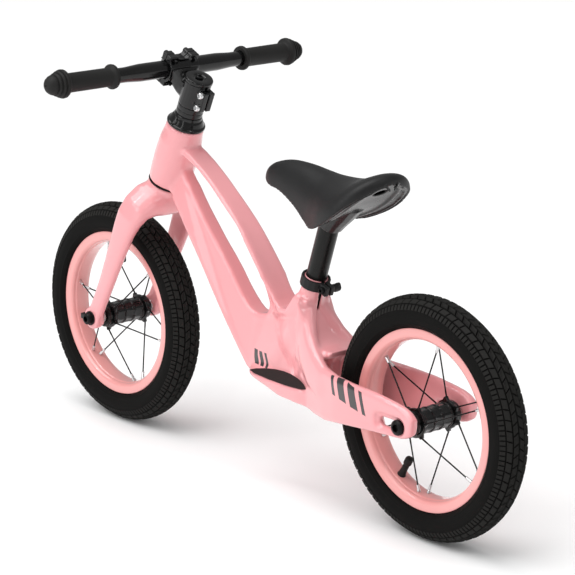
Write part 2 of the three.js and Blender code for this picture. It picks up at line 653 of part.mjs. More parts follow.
// A hub flange with a lug for each spoke, and the spokes of its side.
const LUG_RADIUS = 19;
const FIRST_PAIR = { front: 10.8, rear: 95.6 }; // degrees, where the first pair meets the rim
const SPOKE_LEAN = 14; // degrees between a spoke's lug and its nipple round the wheel

function spokes(side, firstPair) {
  const steps = 24;
  const outline = Array.from({ length: steps }, (_, i) => {
    const angle = (2 * Math.PI * i) / steps;
    const lug = Math.max(0, Math.cos(PAIRS * (angle - radians(firstPair + side * SPOKE_LEAN)))) ** 2;
    const r = 17.6 + 3.4 * lug;
    return new THREE.Vector2(r * Math.cos(angle), r * Math.sin(angle));
  });
  const flange = solid(sidePlate(outline, side * FLANGE_AT - 2, side * FLANGE_AT + 2))
    .subtract(solid(crossRod(0, 0, HUB_RADIUS + 0.4, -60, 60, 16)));
  const wires = Array.from({ length: PAIRS }, (_, i) => {
    const lugAngle = radians(firstPair + side * SPOKE_LEAN + (360 / PAIRS) * i);
    const rimAngle = radians(firstPair + side * PAIR_HALF_ANGLE + (360 / PAIRS) * i);
    return solid(rod(
      new THREE.Vector3(LUG_RADIUS * Math.cos(lugAngle), side * FLANGE_AT, LUG_RADIUS * Math.sin(lugAngle)),
      new THREE.Vector3(92.2 * Math.cos(rimAngle), side * 3.4, 92.2 * Math.sin(rimAngle)), 1.2, 5));
  });
  return geometryOf(joined([flange, ...wires]));
}

function wheel(name) {
  const group = new THREE.Group();
  const bearing = (side) => ring(AXLE_RADIUS + GAP, BEARING_RADIUS - GAP, side * (HUB_HALF - BEARING_WIDTH),
    side * HUB_HALF);
  group.add(
    mesh(`${name}_tyre`, tyre(), tyreRubber),
    mesh(`${name}_inner_tube`, innerTube(name), gripRubber),
    mesh(`${name}_rim`, rim(name), rimPaint),
    mesh(`${name}_valve`, valve(name), gripRubber),
    mesh(`${name}_hub`, hub(), blackPaint),
  );
  for (const [sideName, side] of Object.entries(SIDES)) {
    group.add(
      mesh(`${name}_bearing_${sideName}`, bearing(side), brightSteel),
      mesh(`${name}_spokes_${sideName}`, spokes(side, FIRST_PAIR[name]), blackSteel),
    );
  }
  return group;
}

// The axle tube, a bolt in each end and a spacer between hub and dropout on each side.
function axleSet(name, seatAt, headRadius) {
  const group = new THREE.Group();
  group.add(mesh(`${name}_axle`, ring(3.3, AXLE_RADIUS, -seatAt, seatAt), brightSteel));
  for (const [sideName, side] of Object.entries(SIDES)) {
    const spacer = ring(AXLE_RADIUS + GAP, 9, side * (HUB_HALF + GAP), side * (DROPOUT_INNER - GAP));
    group.add(
      mesh(`${name}_axle_spacer_${sideName}`, spacer, brightSteel),
      mesh(`${name}_axle_bolt_${sideName}`, capBolt(seatAt + GAP, headRadius, 6, 3, 18, side), blackSteel),
    );
  }
  return group;
}

// A washer under each front bolt, with a tab that hooks over the fork's front edge.
function tabWasher(side) {
  const plate = solid(ring(AXLE_RADIUS + GAP, 9.5, DROPOUT_OUTER + GAP, DROPOUT_OUTER + 2.3));
  const tab = solid(block(11, 2, 7, 12, DROPOUT_OUTER + GAP + 1, 0))
    .add(solid(block(3, 8, 7, 16.9, DROPOUT_OUTER - 1.7, 0)));
  return geometryOf(plate.add(tab.subtract(solid(crossRod(0, 0, 8, 50, 60, 24))))).scale(1, side, 1);
}

for (const [name, x] of [['front', AXLE_X], ['rear', -AXLE_X]]) {
  const group = wheel(name);
  group.position.set(x, 0, TYRE_RADIUS);
  bike.add(group);
}

const rearAxle = axleSet('rear', DROPOUT_OUTER - RECESS_DEPTH, 9.3);
rearAxle.position.set(-AXLE_X, 0, TYRE_RADIUS);
const frontAxle = axleSet('front', DROPOUT_OUTER + 2.3, 7.8);
for (const [sideName, side] of Object.entries(SIDES)) {
  frontAxle.add(mesh(`front_axle_washer_${sideName}`, tabWasher(side), blackSteel));
}
frontAxle.position.set(AXLE_X, 0, TYRE_RADIUS);
bike.add(rearAxle, frontAxle);

// ---------------------------------------------------------------- seat post, clamp and saddle
function seatClamp() {
  const band = solid(ringUp(SEAT_TUBE_RADIUS + 0.7, 18, -14.5, -1.5));
  const ears = solid(block(15, 14, 12, -CLAMP_BOLT_BACK + 1.5, 0, -8))
    .subtract(solid(ringUpFilled(SEAT_TUBE_RADIUS + 0.7, -20, 5, 20)));
  const cuts = solid(block(24, 2.6, 20, -25, 0, -8))
    .add(solid(crossRod(-CLAMP_BOLT_BACK, -CLAMP_BOLT_DOWN, 2.9, -20, 20, 12)));
  return geometryOf(band.add(ears).subtract(cuts));
}

function clampKnob() {
  const wing = solid(crossRod(0, 0, 5, -19.2, -10.5))
    .add(solid(sidePlate(stadium(-6.6, 6.6, 0, 3.2), -18.7, -14.1)));
  const neck = solid(crossRod(0, 0, 4.6, -12, -7.4));
  const thread = solid(crossRod(0, 0, 2.6 + GAP, -14, 0));
  return geometryOf(wing.add(neck).subtract(thread)).rotateY(radians(80));
}

seat.add(
  mesh('seat_clamp', seatClamp(), blackPaint),
  mesh('seat_clamp_bolt', capBolt(7.3, 4.4, 3.2, 2.6, 20.5).translate(-CLAMP_BOLT_BACK, 0, -CLAMP_BOLT_DOWN),
    blackSteel),
  mesh('seat_clamp_knob', clampKnob().translate(-CLAMP_BOLT_BACK, 0, -CLAMP_BOLT_DOWN), darkPlastic),
  mesh('seat_post', ringUp(10.8, POST_RADIUS, -POST_DOWN, POST_UP), blackPaint),
);

// Saddle stations from nose to tail: [x, top, half width, lower edge].
const SADDLE = [
  [-3, 389.5, 5, 381], [-8, 395.5, 10.5, 377.5], [-20, 402, 15.5, 374.5], [-44, 408, 20, 372], [-75, 408.5, 25.5, 361],
  [-103, 405.5, 33.5, 348.5], [-122, 403.5, 41.5, 344.5], [-148, 403.5, 52, 354.5], [-170, 407, 55.5, 367.5],
  [-187, 413.5, 52.5, 380.5], [-201, 418.5, 44.5, 391.5], [-211, 419.5, 31, 399.5], [-217.5, 416, 14, 405],
];

function saddleGrid(inset, drop, steps) {
  const last = SADDLE.length - 1;
  return SADDLE.map(([x, top, width, edge], i) => {
    const shift = i === 0 ? -inset : i === last ? inset : 0;
    const half = Math.max(width - inset, 1.5);
    const height = Math.max(top - drop - edge, 1);
    return Array.from({ length: steps + 1 }, (_, j) => {
      const angle = (Math.PI * j) / steps;
      return new THREE.Vector3(x + shift, half * Math.cos(angle), edge + height * Math.sin(angle) ** 0.8);
    });
  });
}

function saddleCover() {
  return thickSheet(saddleGrid(0, 0, 10), saddleGrid(4, 9, 10));
}

function saddleBase() {
  const shell = solid(thickSheet(saddleGrid(5.6, 10.4, 8), saddleGrid(8.6, 13.4, 8)));
  const boss = solid(inSeat(sweep([[0, 0, 69, 15.4, 15.2], [-2, 0, 78, 18, 17], [-5, 0, 91, 23, 20],
    [-8, 0, 112, 32, 24]], FORWARD, 16, 2.4)));
  const room = solid(downToFloor(saddleGrid(6, 10.8, 8)));
  const bore = solid(inSeat(ringUpFilled(POST_RADIUS + GAP, 40, POST_UP + GAP)));
  return geometryOf(shell.add(boss.intersect(room)).subtract(bore));
}

// Everything below a saddle grid, down to a flat floor.
function downToFloor(grid) {
  const floor = grid.map((row) => row.map((p) => new THREE.Vector3(p.x, p.y, 300)));
  return thickSheet(grid, floor);
}

bike.add(
  mesh('saddle_base', saddleBase(), darkPlastic),
  mesh('saddle_cover', saddleCover(), saddleSkin),
);

export default bike;
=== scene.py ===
# %% [markdown]
# # A child's balance bike, piece by piece
# A balance bike has no pedals: a cast frame, a fork, two spoked wheels, a bar with rubber
# grips and a padded saddle. The measured model is loaded first as a fixed frame of bodies,
# and every finer piece made here rides on one of those bodies, so the fork still steers and
# the wheels still spin. Everything is in metres: X is forward, Y is left, Z is up.

# %% Load the measured model
import bmesh
import bpy
import math
import numpy as np
from mathutils import Matrix, Vector


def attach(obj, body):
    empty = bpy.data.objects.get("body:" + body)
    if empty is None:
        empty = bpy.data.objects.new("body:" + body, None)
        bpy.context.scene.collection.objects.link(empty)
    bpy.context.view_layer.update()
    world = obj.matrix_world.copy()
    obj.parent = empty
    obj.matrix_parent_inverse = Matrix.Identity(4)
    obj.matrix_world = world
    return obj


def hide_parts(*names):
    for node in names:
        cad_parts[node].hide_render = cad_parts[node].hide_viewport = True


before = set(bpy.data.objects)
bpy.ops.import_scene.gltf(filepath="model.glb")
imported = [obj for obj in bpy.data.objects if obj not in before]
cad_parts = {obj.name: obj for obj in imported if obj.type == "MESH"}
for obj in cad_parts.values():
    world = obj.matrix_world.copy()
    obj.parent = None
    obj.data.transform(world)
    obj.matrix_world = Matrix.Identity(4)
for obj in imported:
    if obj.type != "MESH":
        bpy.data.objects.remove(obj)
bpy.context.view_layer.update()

MM = 0.001

# %% [markdown]
# ## Camera
# The bike is seen from behind and from its left side, a little above the saddle, through a
# long lens that keeps both wheels nearly the same size. The camera's own axes are worked
# out from three angles, because a matrix built from axes can't drift the way a tracked
# rotation can.

# %% Camera
AZIMUTH, ELEVATION, ROLL = (math.radians(v) for v in (228.93, 15.44, 0.51))
CAMERA_PLACE = Vector((-2.26445, 1.941, 1.064))
camera = bpy.data.objects.new("camera", bpy.data.cameras.new("camera"))
bpy.context.scene.collection.objects.link(camera)
bpy.context.scene.camera = camera
camera.data.sensor_width = 36
camera.data.lens = 158.2
backwards = Vector((math.sin(AZIMUTH) * math.cos(ELEVATION),
                    -math.cos(AZIMUTH) * math.cos(ELEVATION), math.sin(ELEVATION)))
level = Vector((0, 0, 1)).cross(backwards).normalized()
upright = backwards.cross(level)
turn = Matrix.Rotation(ROLL, 4, backwards)
axes = [turn @ level, turn @ upright, backwards]
camera.matrix_world = (Matrix.Translation(CAMERA_PLACE)
                       @ Matrix(axes).transposed().to_4x4())
print("camera", round((CAMERA_PLACE - Vector((0, 0, 0.25))).length, 2), "m from the bike")

# %% [markdown]
# ## Floor and light
# Product studios light a glossy object with large soft boxes over a white sweep, so that its
# curves show as long gentle highlights. A pale plane stands for the sweep, a white world
# gives the even fill, and a broad ceiling light gives the direction. A soft box stands on the
# left, a small one hangs behind, and three narrow strips draw crisp lines on the paint.

# %% Floor and light
FLOOR_SIZE = 60.0


def studio_light(name, place, target, size, power):
    """A square soft box that looks at a point."""
    lamp = bpy.data.objects.new(name, bpy.data.lights.new(name, "AREA"))
    lamp.data.size, lamp.data.energy = size, power
    lamp.location = place
    lamp.rotation_euler = (Vector(target) - Vector(place)).to_track_quat("-Z", "Y").to_euler()
    bpy.context.scene.collection.objects.link(lamp)
    return lamp


sky = bpy.data.objects.new("ceiling_light", bpy.data.lights.new("ceiling_light", "SUN"))
sky.data.energy, sky.data.angle = 2.35, math.radians(60)
sky.rotation_euler = Vector((0.15, 0.32, 1.0)).to_track_quat("Z", "Y").to_euler()
bpy.context.scene.collection.objects.link(sky)
studio_light("left_box", (0.5, 1.9, 1.0), (0, 0, 0.25), 1.1, 8)
studio_light("back_strip", (-1.9, 0.1, 1.7), (0, 0, 0.3), 0.5, 3)
for number, place in enumerate([(-0.9, 1.5, 1.35), (0.9, 1.3, 1.5), (-1.3, -0.5, 1.6)]):
    strip = studio_light(f"strip_{number}", place, (0, 0, 0.25), 0.09, 2.4)
    strip.data.shape, strip.data.size_y = "RECTANGLE", 1.3
world = bpy.data.worlds.new("studio")
world.use_nodes = True
world.node_tree.nodes["Background"].inputs["Color"].default_value = (1, 1, 1, 1)
world.node_tree.nodes["Background"].inputs["Strength"].default_value = 0.36
bpy.context.scene.world = world
bpy.context.scene.view_settings.view_transform = "Standard"

# %% [markdown]
# ## Writing shader maths as expressions
# A node tree drawn by hand is hard to read in a script. `Wire` holds one socket and turns
# `+`, `*` or `<` into Math nodes, so a pattern reads like a formula. `Finish` starts a
# material with one Principled shader: values that are the same all over the surface are set
# on its sockets, and only what varies is linked.


# %% Shader helpers
def plug(socket, value):
    """Sets a socket to a value, or links a wire to it."""
    if isinstance(value, Wire):
        socket.id_data.links.new(value.socket, socket)
    else:
        socket.default_value = value


class Wire:
    """A number on its way through a material."""

    def __init__(self, socket):
        self.socket = socket

    def maths(self, operation, *values):
        node = self.socket.id_data.nodes.new("ShaderNodeMath")
        node.operation = operation
        for socket, value in zip(node.inputs, values):
            plug(socket, value)
        return Wire(node.outputs[0])

    def __add__(self, other):
        return self.maths("ADD", self, other)

    def __sub__(self, other):
        return self.maths("SUBTRACT", self, other)

    def __rsub__(self, other):
        return self.maths("SUBTRACT", other, self)

    def __mul__(self, other):
        return self.maths("MULTIPLY", self, other)

    def __truediv__(self, other):
        return self.maths("DIVIDE", self, other)

    def __pow__(self, other):
        return self.maths("POWER", self, other)

    def __lt__(self, other):
        return self.maths("LESS_THAN", self, other)

    def __gt__(self, other):
        return self.maths("GREATER_THAN", self, other)

    __radd__, __rmul__ = __add__, __mul__

    def size(self):
        return self.maths("ABSOLUTE", self)

    def wave(self):
        return self.maths("SINE", self)


class Finish:
    """A material with one Principled shader."""

    def __init__(self, name, colour, **constants):
        self.material = bpy.data.materials.new(name)
        self.material.use_nodes = True
        self.tree = self.material.node_tree
        self.shader = self.tree.nodes["Principled BSDF"]
        self.set(**{"Base Color": (*colour, 1), **constants})

    def set(self, **values):
        for name, value in values.items():
            plug(self.shader.inputs[name.replace("_", " ")], value)

    def node(self, kind, settings=None, inputs=None, output=0):
        """Adds a node: its settings first, then the values or wires of its sockets."""
        made = self.tree.nodes.new("ShaderNode" + kind)
        for name, value in (settings or {}).items():
            setattr(made, name, value)
        for name, value in (inputs or {}).items():
            plug(made.inputs[name], value)
        return Wire(made.outputs[output])

    def place(self):
        """Object coordinates as a wire, and X, Y and Z apart, in metres."""
        point = self.node("TexCoord", output=3)
        split = self.tree.nodes.new("ShaderNodeSeparateXYZ")
        plug(split.inputs[0], point)
        return point, *(Wire(s) for s in split.outputs)

    def noise(self, scale, detail=2.0, roughness=0.5):
        point = self.node("TexCoord", output=3)
        return self.node("TexNoise", None, {"Vector": point, "Scale": scale,
                                            "Detail": detail, "Roughness": roughness})

    def blend(self, amount, first, second):
        """A colour between two others."""
        colours = [c if isinstance(c, Wire) else (*c, 1) for c in (first, second)]
        return self.node("Mix", {"data_type": "RGBA"},
                         {0: amount, 6: colours[0], 7: colours[1]}, output=2)

    def bump(self, height, depth, strength=1.0):
        """Raises the surface by a height pattern; depth is in metres."""
        self.set(Normal=self.node("Bump", None, {"Strength": strength, "Distance": depth,
                                                 "Height": height}))


# %% [markdown]
# ## Paint
# The frame is sprayed a pale pink under a clear coat. Real paint is never perfectly even:
# its tone drifts a little, and its surface ripples like the skin of an orange. Slow noise
# moves the colour, fine noise moves the bump, and the coat gives the sharp highlight over a
# softer base. Two groups of plain slanted bars stand for printed graphics on each side; they
# are painted by position, so they follow the surface exactly. The rims are a warmer salmon.

# %% Pink and salmon paint
PINK, PINK_DEEP = (0.89, 0.375, 0.395), (0.85, 0.335, 0.357)
SALMON, SALMON_DEEP = (0.90, 0.390, 0.375), (0.86, 0.345, 0.330)
GRAPHIC_INK = (0.018, 0.016, 0.017)
BAR_SLANT = 0.35  # how far a bar leans forward for each metre that it rises
BODY_BARS = [(-0.004, 0.0042), (-0.015, 0.0032), (-0.0245, 0.0022)]  # middle x, half width
STAY_BARS = [(-0.176, 0.0030), (-0.193, 0.0068), (-0.214, 0.0068), (-0.231, 0.0030)]


def bars(finish, middle_z, half_height, bars_along_x, beyond, fall=0.0):
    """A mask that is 1 on a row of slanted bars."""
    _, x, y, z = finish.place()
    rise = z - middle_z - x * fall
    inside = rise.size() < half_height
    mask = 0.0
    for middle, half in bars_along_x:
        mask = ((x - middle - rise * BAR_SLANT).size() < half) + mask
    return mask * inside * (y.size() > beyond)


def sprayed(name, colour, deep, **more):
    """Gloss paint under a clear coat, with a slow drift of tone and a fine ripple."""
    paint = Finish(name, colour, Roughness=0.36, **{"Coat Weight": 1.0,
                   "Coat Roughness": 0.05, "Specular IOR Level": 0.4}, **more)
    drift = paint.noise(9.0, 3.0)
    paint.set(**{"Base Color": paint.blend(drift, colour, deep)})
    paint.set(Roughness=paint.noise(55.0) * 0.10 + 0.30)
    paint.bump(paint.noise(260.0, 1.0), 0.00002, 0.25)
    return paint, drift


frame_paint, tone = sprayed("pink frame paint", PINK, PINK_DEEP)
printed = (bars(frame_paint, 0.157, 0.0085, BODY_BARS, 0.012)
           + bars(frame_paint, 0.203, 0.0125, STAY_BARS, 0.0465, fall=0.185))
frame_paint.set(**{"Base Color": frame_paint.blend(
    printed.maths("MINIMUM", printed, 1.0),
    frame_paint.blend(tone, PINK, PINK_DEEP), GRAPHIC_INK)})
fork_paint, _ = sprayed("pink fork paint", PINK, PINK_DEEP)
rim_paint, _ = sprayed("salmon rim paint", SALMON, SALMON_DEEP)
print("paints:", frame_paint.material.name, "and", rim_paint.material.name)

# %% [markdown]
# ## Black alloy and steel
# The stem, bar, headset and hubs are painted gloss black, the seat post is anodised satin,
# and the spokes are blackened steel with bright nipples. Their colours hardly differ; what
# tells them apart is how blurred the reflections are, so each gets its own roughness range
# and a grain at its own scale: drawn steel streaks along its length, cast paint ripples.


# %% Black alloy and steel
def metal(name, dark, light, rough, spread, grain, depth, metallic=0.0, coat=0.0, stretch=None):
    """A smooth hard surface whose tone and gloss wander with one noise pattern."""
    skin = Finish(name, dark, Metallic=metallic, **{"Coat Weight": coat,
                  "Coat Roughness": 0.05, "Specular IOR Level": 0.25})
    point = skin.node("TexCoord", output=3)
    if stretch:
        point = skin.node("Mapping", None, {"Vector": point, "Scale": stretch})
    cloud = skin.node("TexNoise", None, {"Vector": point, "Scale": grain, "Detail": 3.0})
    skin.set(**{"Base Color": skin.blend(cloud, dark, light),
                "Roughness": cloud * spread + rough})
    skin.bump(cloud, depth, 0.5)
    return skin


gloss_black = metal("gloss black alloy", (0.0025, 0.0025, 0.0027), (0.005, 0.005, 0.0053),
                    0.16, 0.08, 60.0, 0.000012, coat=0.3)
satin_black = metal("satin anodised black", (0.007, 0.007, 0.0065), (0.012, 0.012, 0.0115),
                    0.24, 0.10, 90.0, 0.000006, metallic=0.3, stretch=(6, 6, 0.6))
black_steel = metal("blackened steel", (0.004, 0.004, 0.0043), (0.012, 0.012, 0.0125),
                    0.26, 0.2, 300.0, 0.00002, metallic=0.5)
bright_steel = metal("bright zinc plated steel", (0.55, 0.55, 0.56), (0.78, 0.78, 0.78),
                     0.18, 0.2, 260.0, 0.00002, metallic=1.0)
print("metals:", [m.name for m in bpy.data.materials if "black" in m.name or "steel" in m.name])


# %% [markdown]
# ## Rubber, plastic and saddle skin
# Tyre rubber is a warm dark grey. Its sidewalls carry fine moulded rings, and the tops of its
# tread blocks are painted a little paler than the grooves, as painted light on the tread. Both
# depend on the distance from the axle, which Object coordinates give once the axle's place is
# taken away. The saddle's skin has a pebbled grain, made from cells, its shell is a smoother
# plastic, and the grips are a duller rubber.


# %% Rubber, plastic and saddle skin
def rubber(name, dark, light, rough, grain, depth, shine=0.25):
    """A matt moulded surface with a fine grain."""
    skin = Finish(name, dark, **{"Specular IOR Level": shine})
    cloud = skin.noise(38.0, 4.0, 0.6)
    skin.set(**{"Base Color": skin.blend(cloud, dark, light),
                "Roughness": cloud * 0.16 + rough})
    skin.bump(skin.noise(grain, 2.0, 0.6), depth, 0.6)
    return skin


RING_PITCH = 0.0022
AXLE_HEIGHT, TUBE_CENTRE = 0.146, 0.1223  # metres; the tube's centre is taken from the axle
# The block tops are painted paler than the grooves and sidewalls: painted light on the tread.
LIT_TOP_REACH = 0.0222  # from the tube's centre to where the paler tops of the blocks begin
TREAD_START, SIDEWALL_END, SIDEWALL_Y = 0.127, 0.132, 0.012
GROOVE_DARK, GROOVE_LIGHT = (0.0038, 0.0037, 0.0035), (0.0080, 0.0077, 0.0073)
LIT_BLOCK_TOP_COLOUR = (0.0185, 0.018, 0.017)


def tyre_rubber(axle_x):
    """Tyre rubber with rings on its sidewalls and block tops painted paler as painted light,
    round an axle.
    """
    skin = rubber(f"tyre rubber {'front' if axle_x > 0 else 'rear'}",
                  (0.0040, 0.0039, 0.0037), (0.0085, 0.0082, 0.0078), 0.56, 900.0, 0.0002,
                  shine=0.06)
    _, x, y, z = skin.place()
    out = ((x - axle_x) ** 2 + (z - AXLE_HEIGHT) ** 2) ** 0.5
    side = (out < SIDEWALL_END) * (y.size() > SIDEWALL_Y)
    # the block tops get a paler colour as painted light; grooves and sidewalls keep the darker
    # rubber tone
    tops = (((out - TUBE_CENTRE) ** 2 + y ** 2) ** 0.5 > LIT_TOP_REACH) * (out > TREAD_START)
    grooves = skin.blend(skin.noise(38.0, 4.0, 0.6), GROOVE_DARK, GROOVE_LIGHT)
    skin.set(**{"Base Color": skin.blend(tops, grooves, LIT_BLOCK_TOP_COLOUR)})
    rings = (out * (2 * math.pi / RING_PITCH)).wave() * 0.5 * side
    skin.bump(rings + skin.noise(900.0, 2.0), 0.00016, 0.55)
    return skin


tyre_skins = {"front": tyre_rubber(0.2905), "rear": tyre_rubber(-0.2905)}
soft_rubber = rubber("soft black rubber", (0.006, 0.0058, 0.0056), (0.011, 0.0105, 0.0102),
                     0.5, 700.0, 0.00008)
grip_rubber = rubber("grip rubber", (0.0085, 0.0082, 0.008), (0.015, 0.0145, 0.014),
                     0.52, 1300.0, 0.00012)
pad_rubber = rubber("foot pad rubber", (0.0125, 0.0065, 0.0062), (0.021, 0.0115, 0.011),
                    0.62, 800.0, 0.0003)
dark_plastic = rubber("dark moulded plastic", (0.006, 0.006, 0.0062), (0.011, 0.011, 0.0115),
                      0.36, 600.0, 0.00006)
shell_plastic = rubber("glossy moulded shell", (0.004, 0.004, 0.0042), (0.007, 0.007, 0.0073),
                       0.2, 600.0, 0.00003, shine=0.4)
saddle_skin = rubber("saddle skin", (0.0065, 0.0065, 0.0068), (0.011, 0.011, 0.0115),
                     0.38, 900.0, 0.0001, shine=0.28)
pebbles = saddle_skin.node("TexVoronoi", {"feature": "SMOOTH_F1"},
                           {"Vector": saddle_skin.node("TexCoord", output=3),
                            "Scale": 620.0, "Smoothness": 0.6})
saddle_skin.bump(pebbles, 0.00022, 0.35)
floor_paint = Finish("studio floor", (0.97, 0.97, 0.97), Roughness=0.8)
print(len(bpy.data.materials), "materials")

# %% [markdown]
# ## Floor
# One big pale matt plane that the bike stands on. It only takes the soft shadow.

# %% Floor
sweep = bmesh.new()
bmesh.ops.create_grid(sweep, x_segments=1, y_segments=1, size=FLOOR_SIZE / 2)
floor_mesh = bpy.data.meshes.new("floor")
sweep.to_mesh(floor_mesh)
sweep.free()
floor = bpy.data.objects.new("floor", floor_mesh)
floor_mesh.materials.append(floor_paint.material)
bpy.context.scene.collection.objects.link(floor)

# %% [markdown]
# ## Three ways to make a piece
# Most hard pieces here are turned: a profile is spun round an axis, which gives true circles
# at any size. A cast piece is different: it has no sharp corner anywhere. It starts as a
# merged copy of the measured solid, is rebuilt on a fine even grid (a voxel remesh) and
# relaxed, so that every edge gets the same soft radius. A cut piece keeps its flat faces and
# only gets narrow bevels. Each finished object sits at the origin, with its place in its mesh.


# %% Making and finishing pieces
def finished(name, shape, body, finish, stands_for=(), place=None, smooth=38):
    """Turns a bmesh into a piece that rides on a body, and hides what it stands for."""
    if place is not None:
        bmesh.ops.transform(shape, matrix=place, verts=shape.verts)
    bmesh.ops.recalc_face_normals(shape, faces=shape.faces)
    mesh = bpy.data.meshes.new(name)
    shape.to_mesh(mesh)
    shape.free()
    return finished_mesh(name, mesh, body, finish, stands_for, smooth)


def finished_mesh(name, mesh, body, finish, stands_for=(), smooth=38):
    mesh.polygons.foreach_set("use_smooth", [True] * len(mesh.polygons))
    mesh.set_sharp_from_angle(angle=math.radians(smooth))
    mesh.materials.clear()
    mesh.materials.append(finish.material)
    piece = bpy.data.objects.new(name, mesh)
    bpy.context.scene.collection.objects.link(piece)
    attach(piece, body)
    if stands_for:
        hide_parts(*stands_for)
    return piece


def turned(profile, steps=72, closed=True):
    """Spins a profile of (radius, height) points in millimetres round local Z."""
    shape = bmesh.new()
    corners = [shape.verts.new((r * MM, 0, h * MM)) for r, h in profile]
    lines = [shape.edges.new(pair) for pair in zip(corners, corners[1:])]
    if closed and (profile[0][0] > 0 or profile[-1][0] > 0):
        lines.append(shape.edges.new((corners[-1], corners[0])))
    bmesh.ops.spin(shape, geom=corners + lines, cent=(0, 0, 0), axis=(0, 0, 1),
                   angle=2 * math.pi, steps=steps, use_merge=True)
    bmesh.ops.remove_doubles(shape, verts=shape.verts, dist=2e-6)
    bmesh.ops.recalc_face_normals(shape, faces=shape.faces)
    return shape


def soften(shape, width, angle=28, segments=2):
    """Bevels every edge where two faces meet at more than an angle; width in millimetres."""
    sharp = [e for e in shape.edges if len(e.link_faces) == 2
             and e.calc_face_angle(0) > math.radians(angle)]
    bmesh.ops.bevel(shape, geom=sharp, offset=width * MM, affect="EDGES", segments=segments,
                    profile=0.5, clamp_overlap=True, material=-1)
    return shape


def copied(node):
    """A merged copy of a measured solid."""
    shape = bmesh.new()
    shape.from_mesh(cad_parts[node].data)
    bmesh.ops.remove_doubles(shape, verts=shape.verts, dist=1e-5)
    return shape


def on_grid(name, shape, voxel):
    """The surface of a shape, rebuilt as even cells of size voxel, in millimetres."""
    mesh = bpy.data.meshes.new(name)
    shape.to_mesh(mesh)
    shape.free()
    blank = bpy.data.objects.new(name + "_blank", mesh)
    bpy.context.scene.collection.objects.link(blank)
    grid = blank.modifiers.new("even grid", "REMESH")
    grid.mode, grid.voxel_size = "VOXEL", voxel * MM
    view = bpy.context.evaluated_depsgraph_get()
    made = bpy.data.meshes.new_from_object(blank.evaluated_get(view))
    bpy.data.objects.remove(blank)
    return made


def relax(mesh, passes):
    """Averages every point with its neighbours, then gives back the part of the move that
    a whole region shares, so that corners soften but a tube keeps its thickness."""
    count = len(mesh.vertices)
    points = np.empty(count * 3)
    mesh.vertices.foreach_get("co", points)
    points = points.reshape(-1, 3)
    ends = np.empty(len(mesh.edges) * 2, dtype=np.int64)
    mesh.edges.foreach_get("vertices", ends)
    one, other = ends.reshape(-1, 2).T
    links = np.bincount(ends, minlength=count)[:, None]

    def blurred(values):
        for _ in range(passes):
            total = np.stack([np.bincount(one, values[other, k], count)
                              + np.bincount(other, values[one, k], count)
                              for k in range(3)], axis=1)
            values = 0.5 * (values + total / links)
        return values

    soft = blurred(points)
    mesh.vertices.foreach_set("co", (soft + blurred(points - soft)).ravel())


def cast(name, node, body, finish, voxel, passes, shape=None):
    """A cast piece: a solid on an even grid of cells of size voxel (mm), then relaxed."""
    made = on_grid(name, shape or copied(node), voxel)
    relax(made, passes)
    print(f"{name}: {len(made.polygons)} faces")
    return finished_mesh(name, made, body, finish, (node,), smooth=180)


def cut(name, node, body, finish, bevel):
    """A cut or pressed piece: flat faces with narrow bevelled edges."""
    shape = copied(node)
    bmesh.ops.dissolve_limit(shape, angle_limit=math.radians(2), verts=shape.verts,
                             edges=shape.edges)
    soften(shape, bevel, 35)
    return finished(name, shape, body, finish, (node,), smooth=30)


def socket_head(shape, below, flats):
    """Pulls the rings nearer the axis than `below` (mm) onto a hexagon."""
    for vert in shape.verts:
        reach = math.hypot(vert.co.x, vert.co.y)
        if 1e-6 < reach < below * MM:
            sixth = math.atan2(vert.co.y, vert.co.x) % math.radians(60) - math.radians(30)
            scale = flats * math.cos(math.radians(30)) / math.cos(sixth)
            vert.co.x *= scale
            vert.co.y *= scale
    return shape


# %% [markdown]
# ## Where pieces go
# Three local frames save a lot of arithmetic: one on each axle with its Z along the axle,
# one on the tilted steering axis, and one on the tilted seat tube.

# %% Local frames
AXLE_X, AXLE_Z = 290.5, 146.0


def axes_at(x_axis, y_axis, z_axis, origin):
    """A frame with those axes, at an origin in millimetres."""
    return Matrix.Translation(Vector(origin) * MM) @ Matrix(
        [Vector(v) for v in (x_axis, y_axis, z_axis)]).transposed().to_4x4()


HEAD_TILT, SEAT_TILT = math.radians(23.5), math.radians(18.0)
STEER = axes_at((math.cos(HEAD_TILT), 0, math.sin(HEAD_TILT)), (0, 1, 0),
                (-math.sin(HEAD_TILT), 0, math.cos(HEAD_TILT)), (159.3, 0, 418.5))
SEAT = axes_at((math.cos(SEAT_TILT), 0, math.sin(SEAT_TILT)), (0, 1, 0),
               (-math.sin(SEAT_TILT), 0, math.cos(SEAT_TILT)), (-90.2, 0, 275))
AXLES = {end: axes_at((1, 0, 0), (0, 0, -1), (0, 1, 0), (sign * AXLE_X, 0, AXLE_Z))
         for end, sign in (("front", 1), ("rear", -1))}
LEFTWARD = axes_at((1, 0, 0), (0, 0, -1), (0, 1, 0), (0, 0, 0))
FLIP_Z = Matrix.Scale(-1, 4, (0, 0, 1))


def moved(x, y, z):
    return Matrix.Translation(Vector((x, y, z)) * MM)


# %% [markdown]
# ## Frame and fork
# The real frame and fork are cast in magnesium alloy: thick where tubes meet, with soft
# radii everywhere, and no weld. They could be modelled with subdivision surfaces, but the
# measured solids already have the right openings, so casting them keeps every opening in
# place. Two things are done to the frame after casting: the bore for the seat post is
# widened to one radius, and both sides are pressed in a little behind a line that runs from
# the window down to the foot rest, which leaves a soft crease there.

# %% Frame and fork
FOLD_LINE = [(-9, 256), (-18, 232), (-31, 208), (-48, 182), (-66, 158), (-82, 142)]  # x, z
FOLD_DEPTH, FOLD_RISE, FOLD_FADE = 4.6, 2.0, 26.0
FOLD_FREE_HALF, FOLD_FREE_FADE = 6, 6  # near the middle plane nothing is pressed
BORE_RADIUS, BORE_WALL, BORE_FLOOR, BORE_MOUTH = 13.15, 4, -121, 1


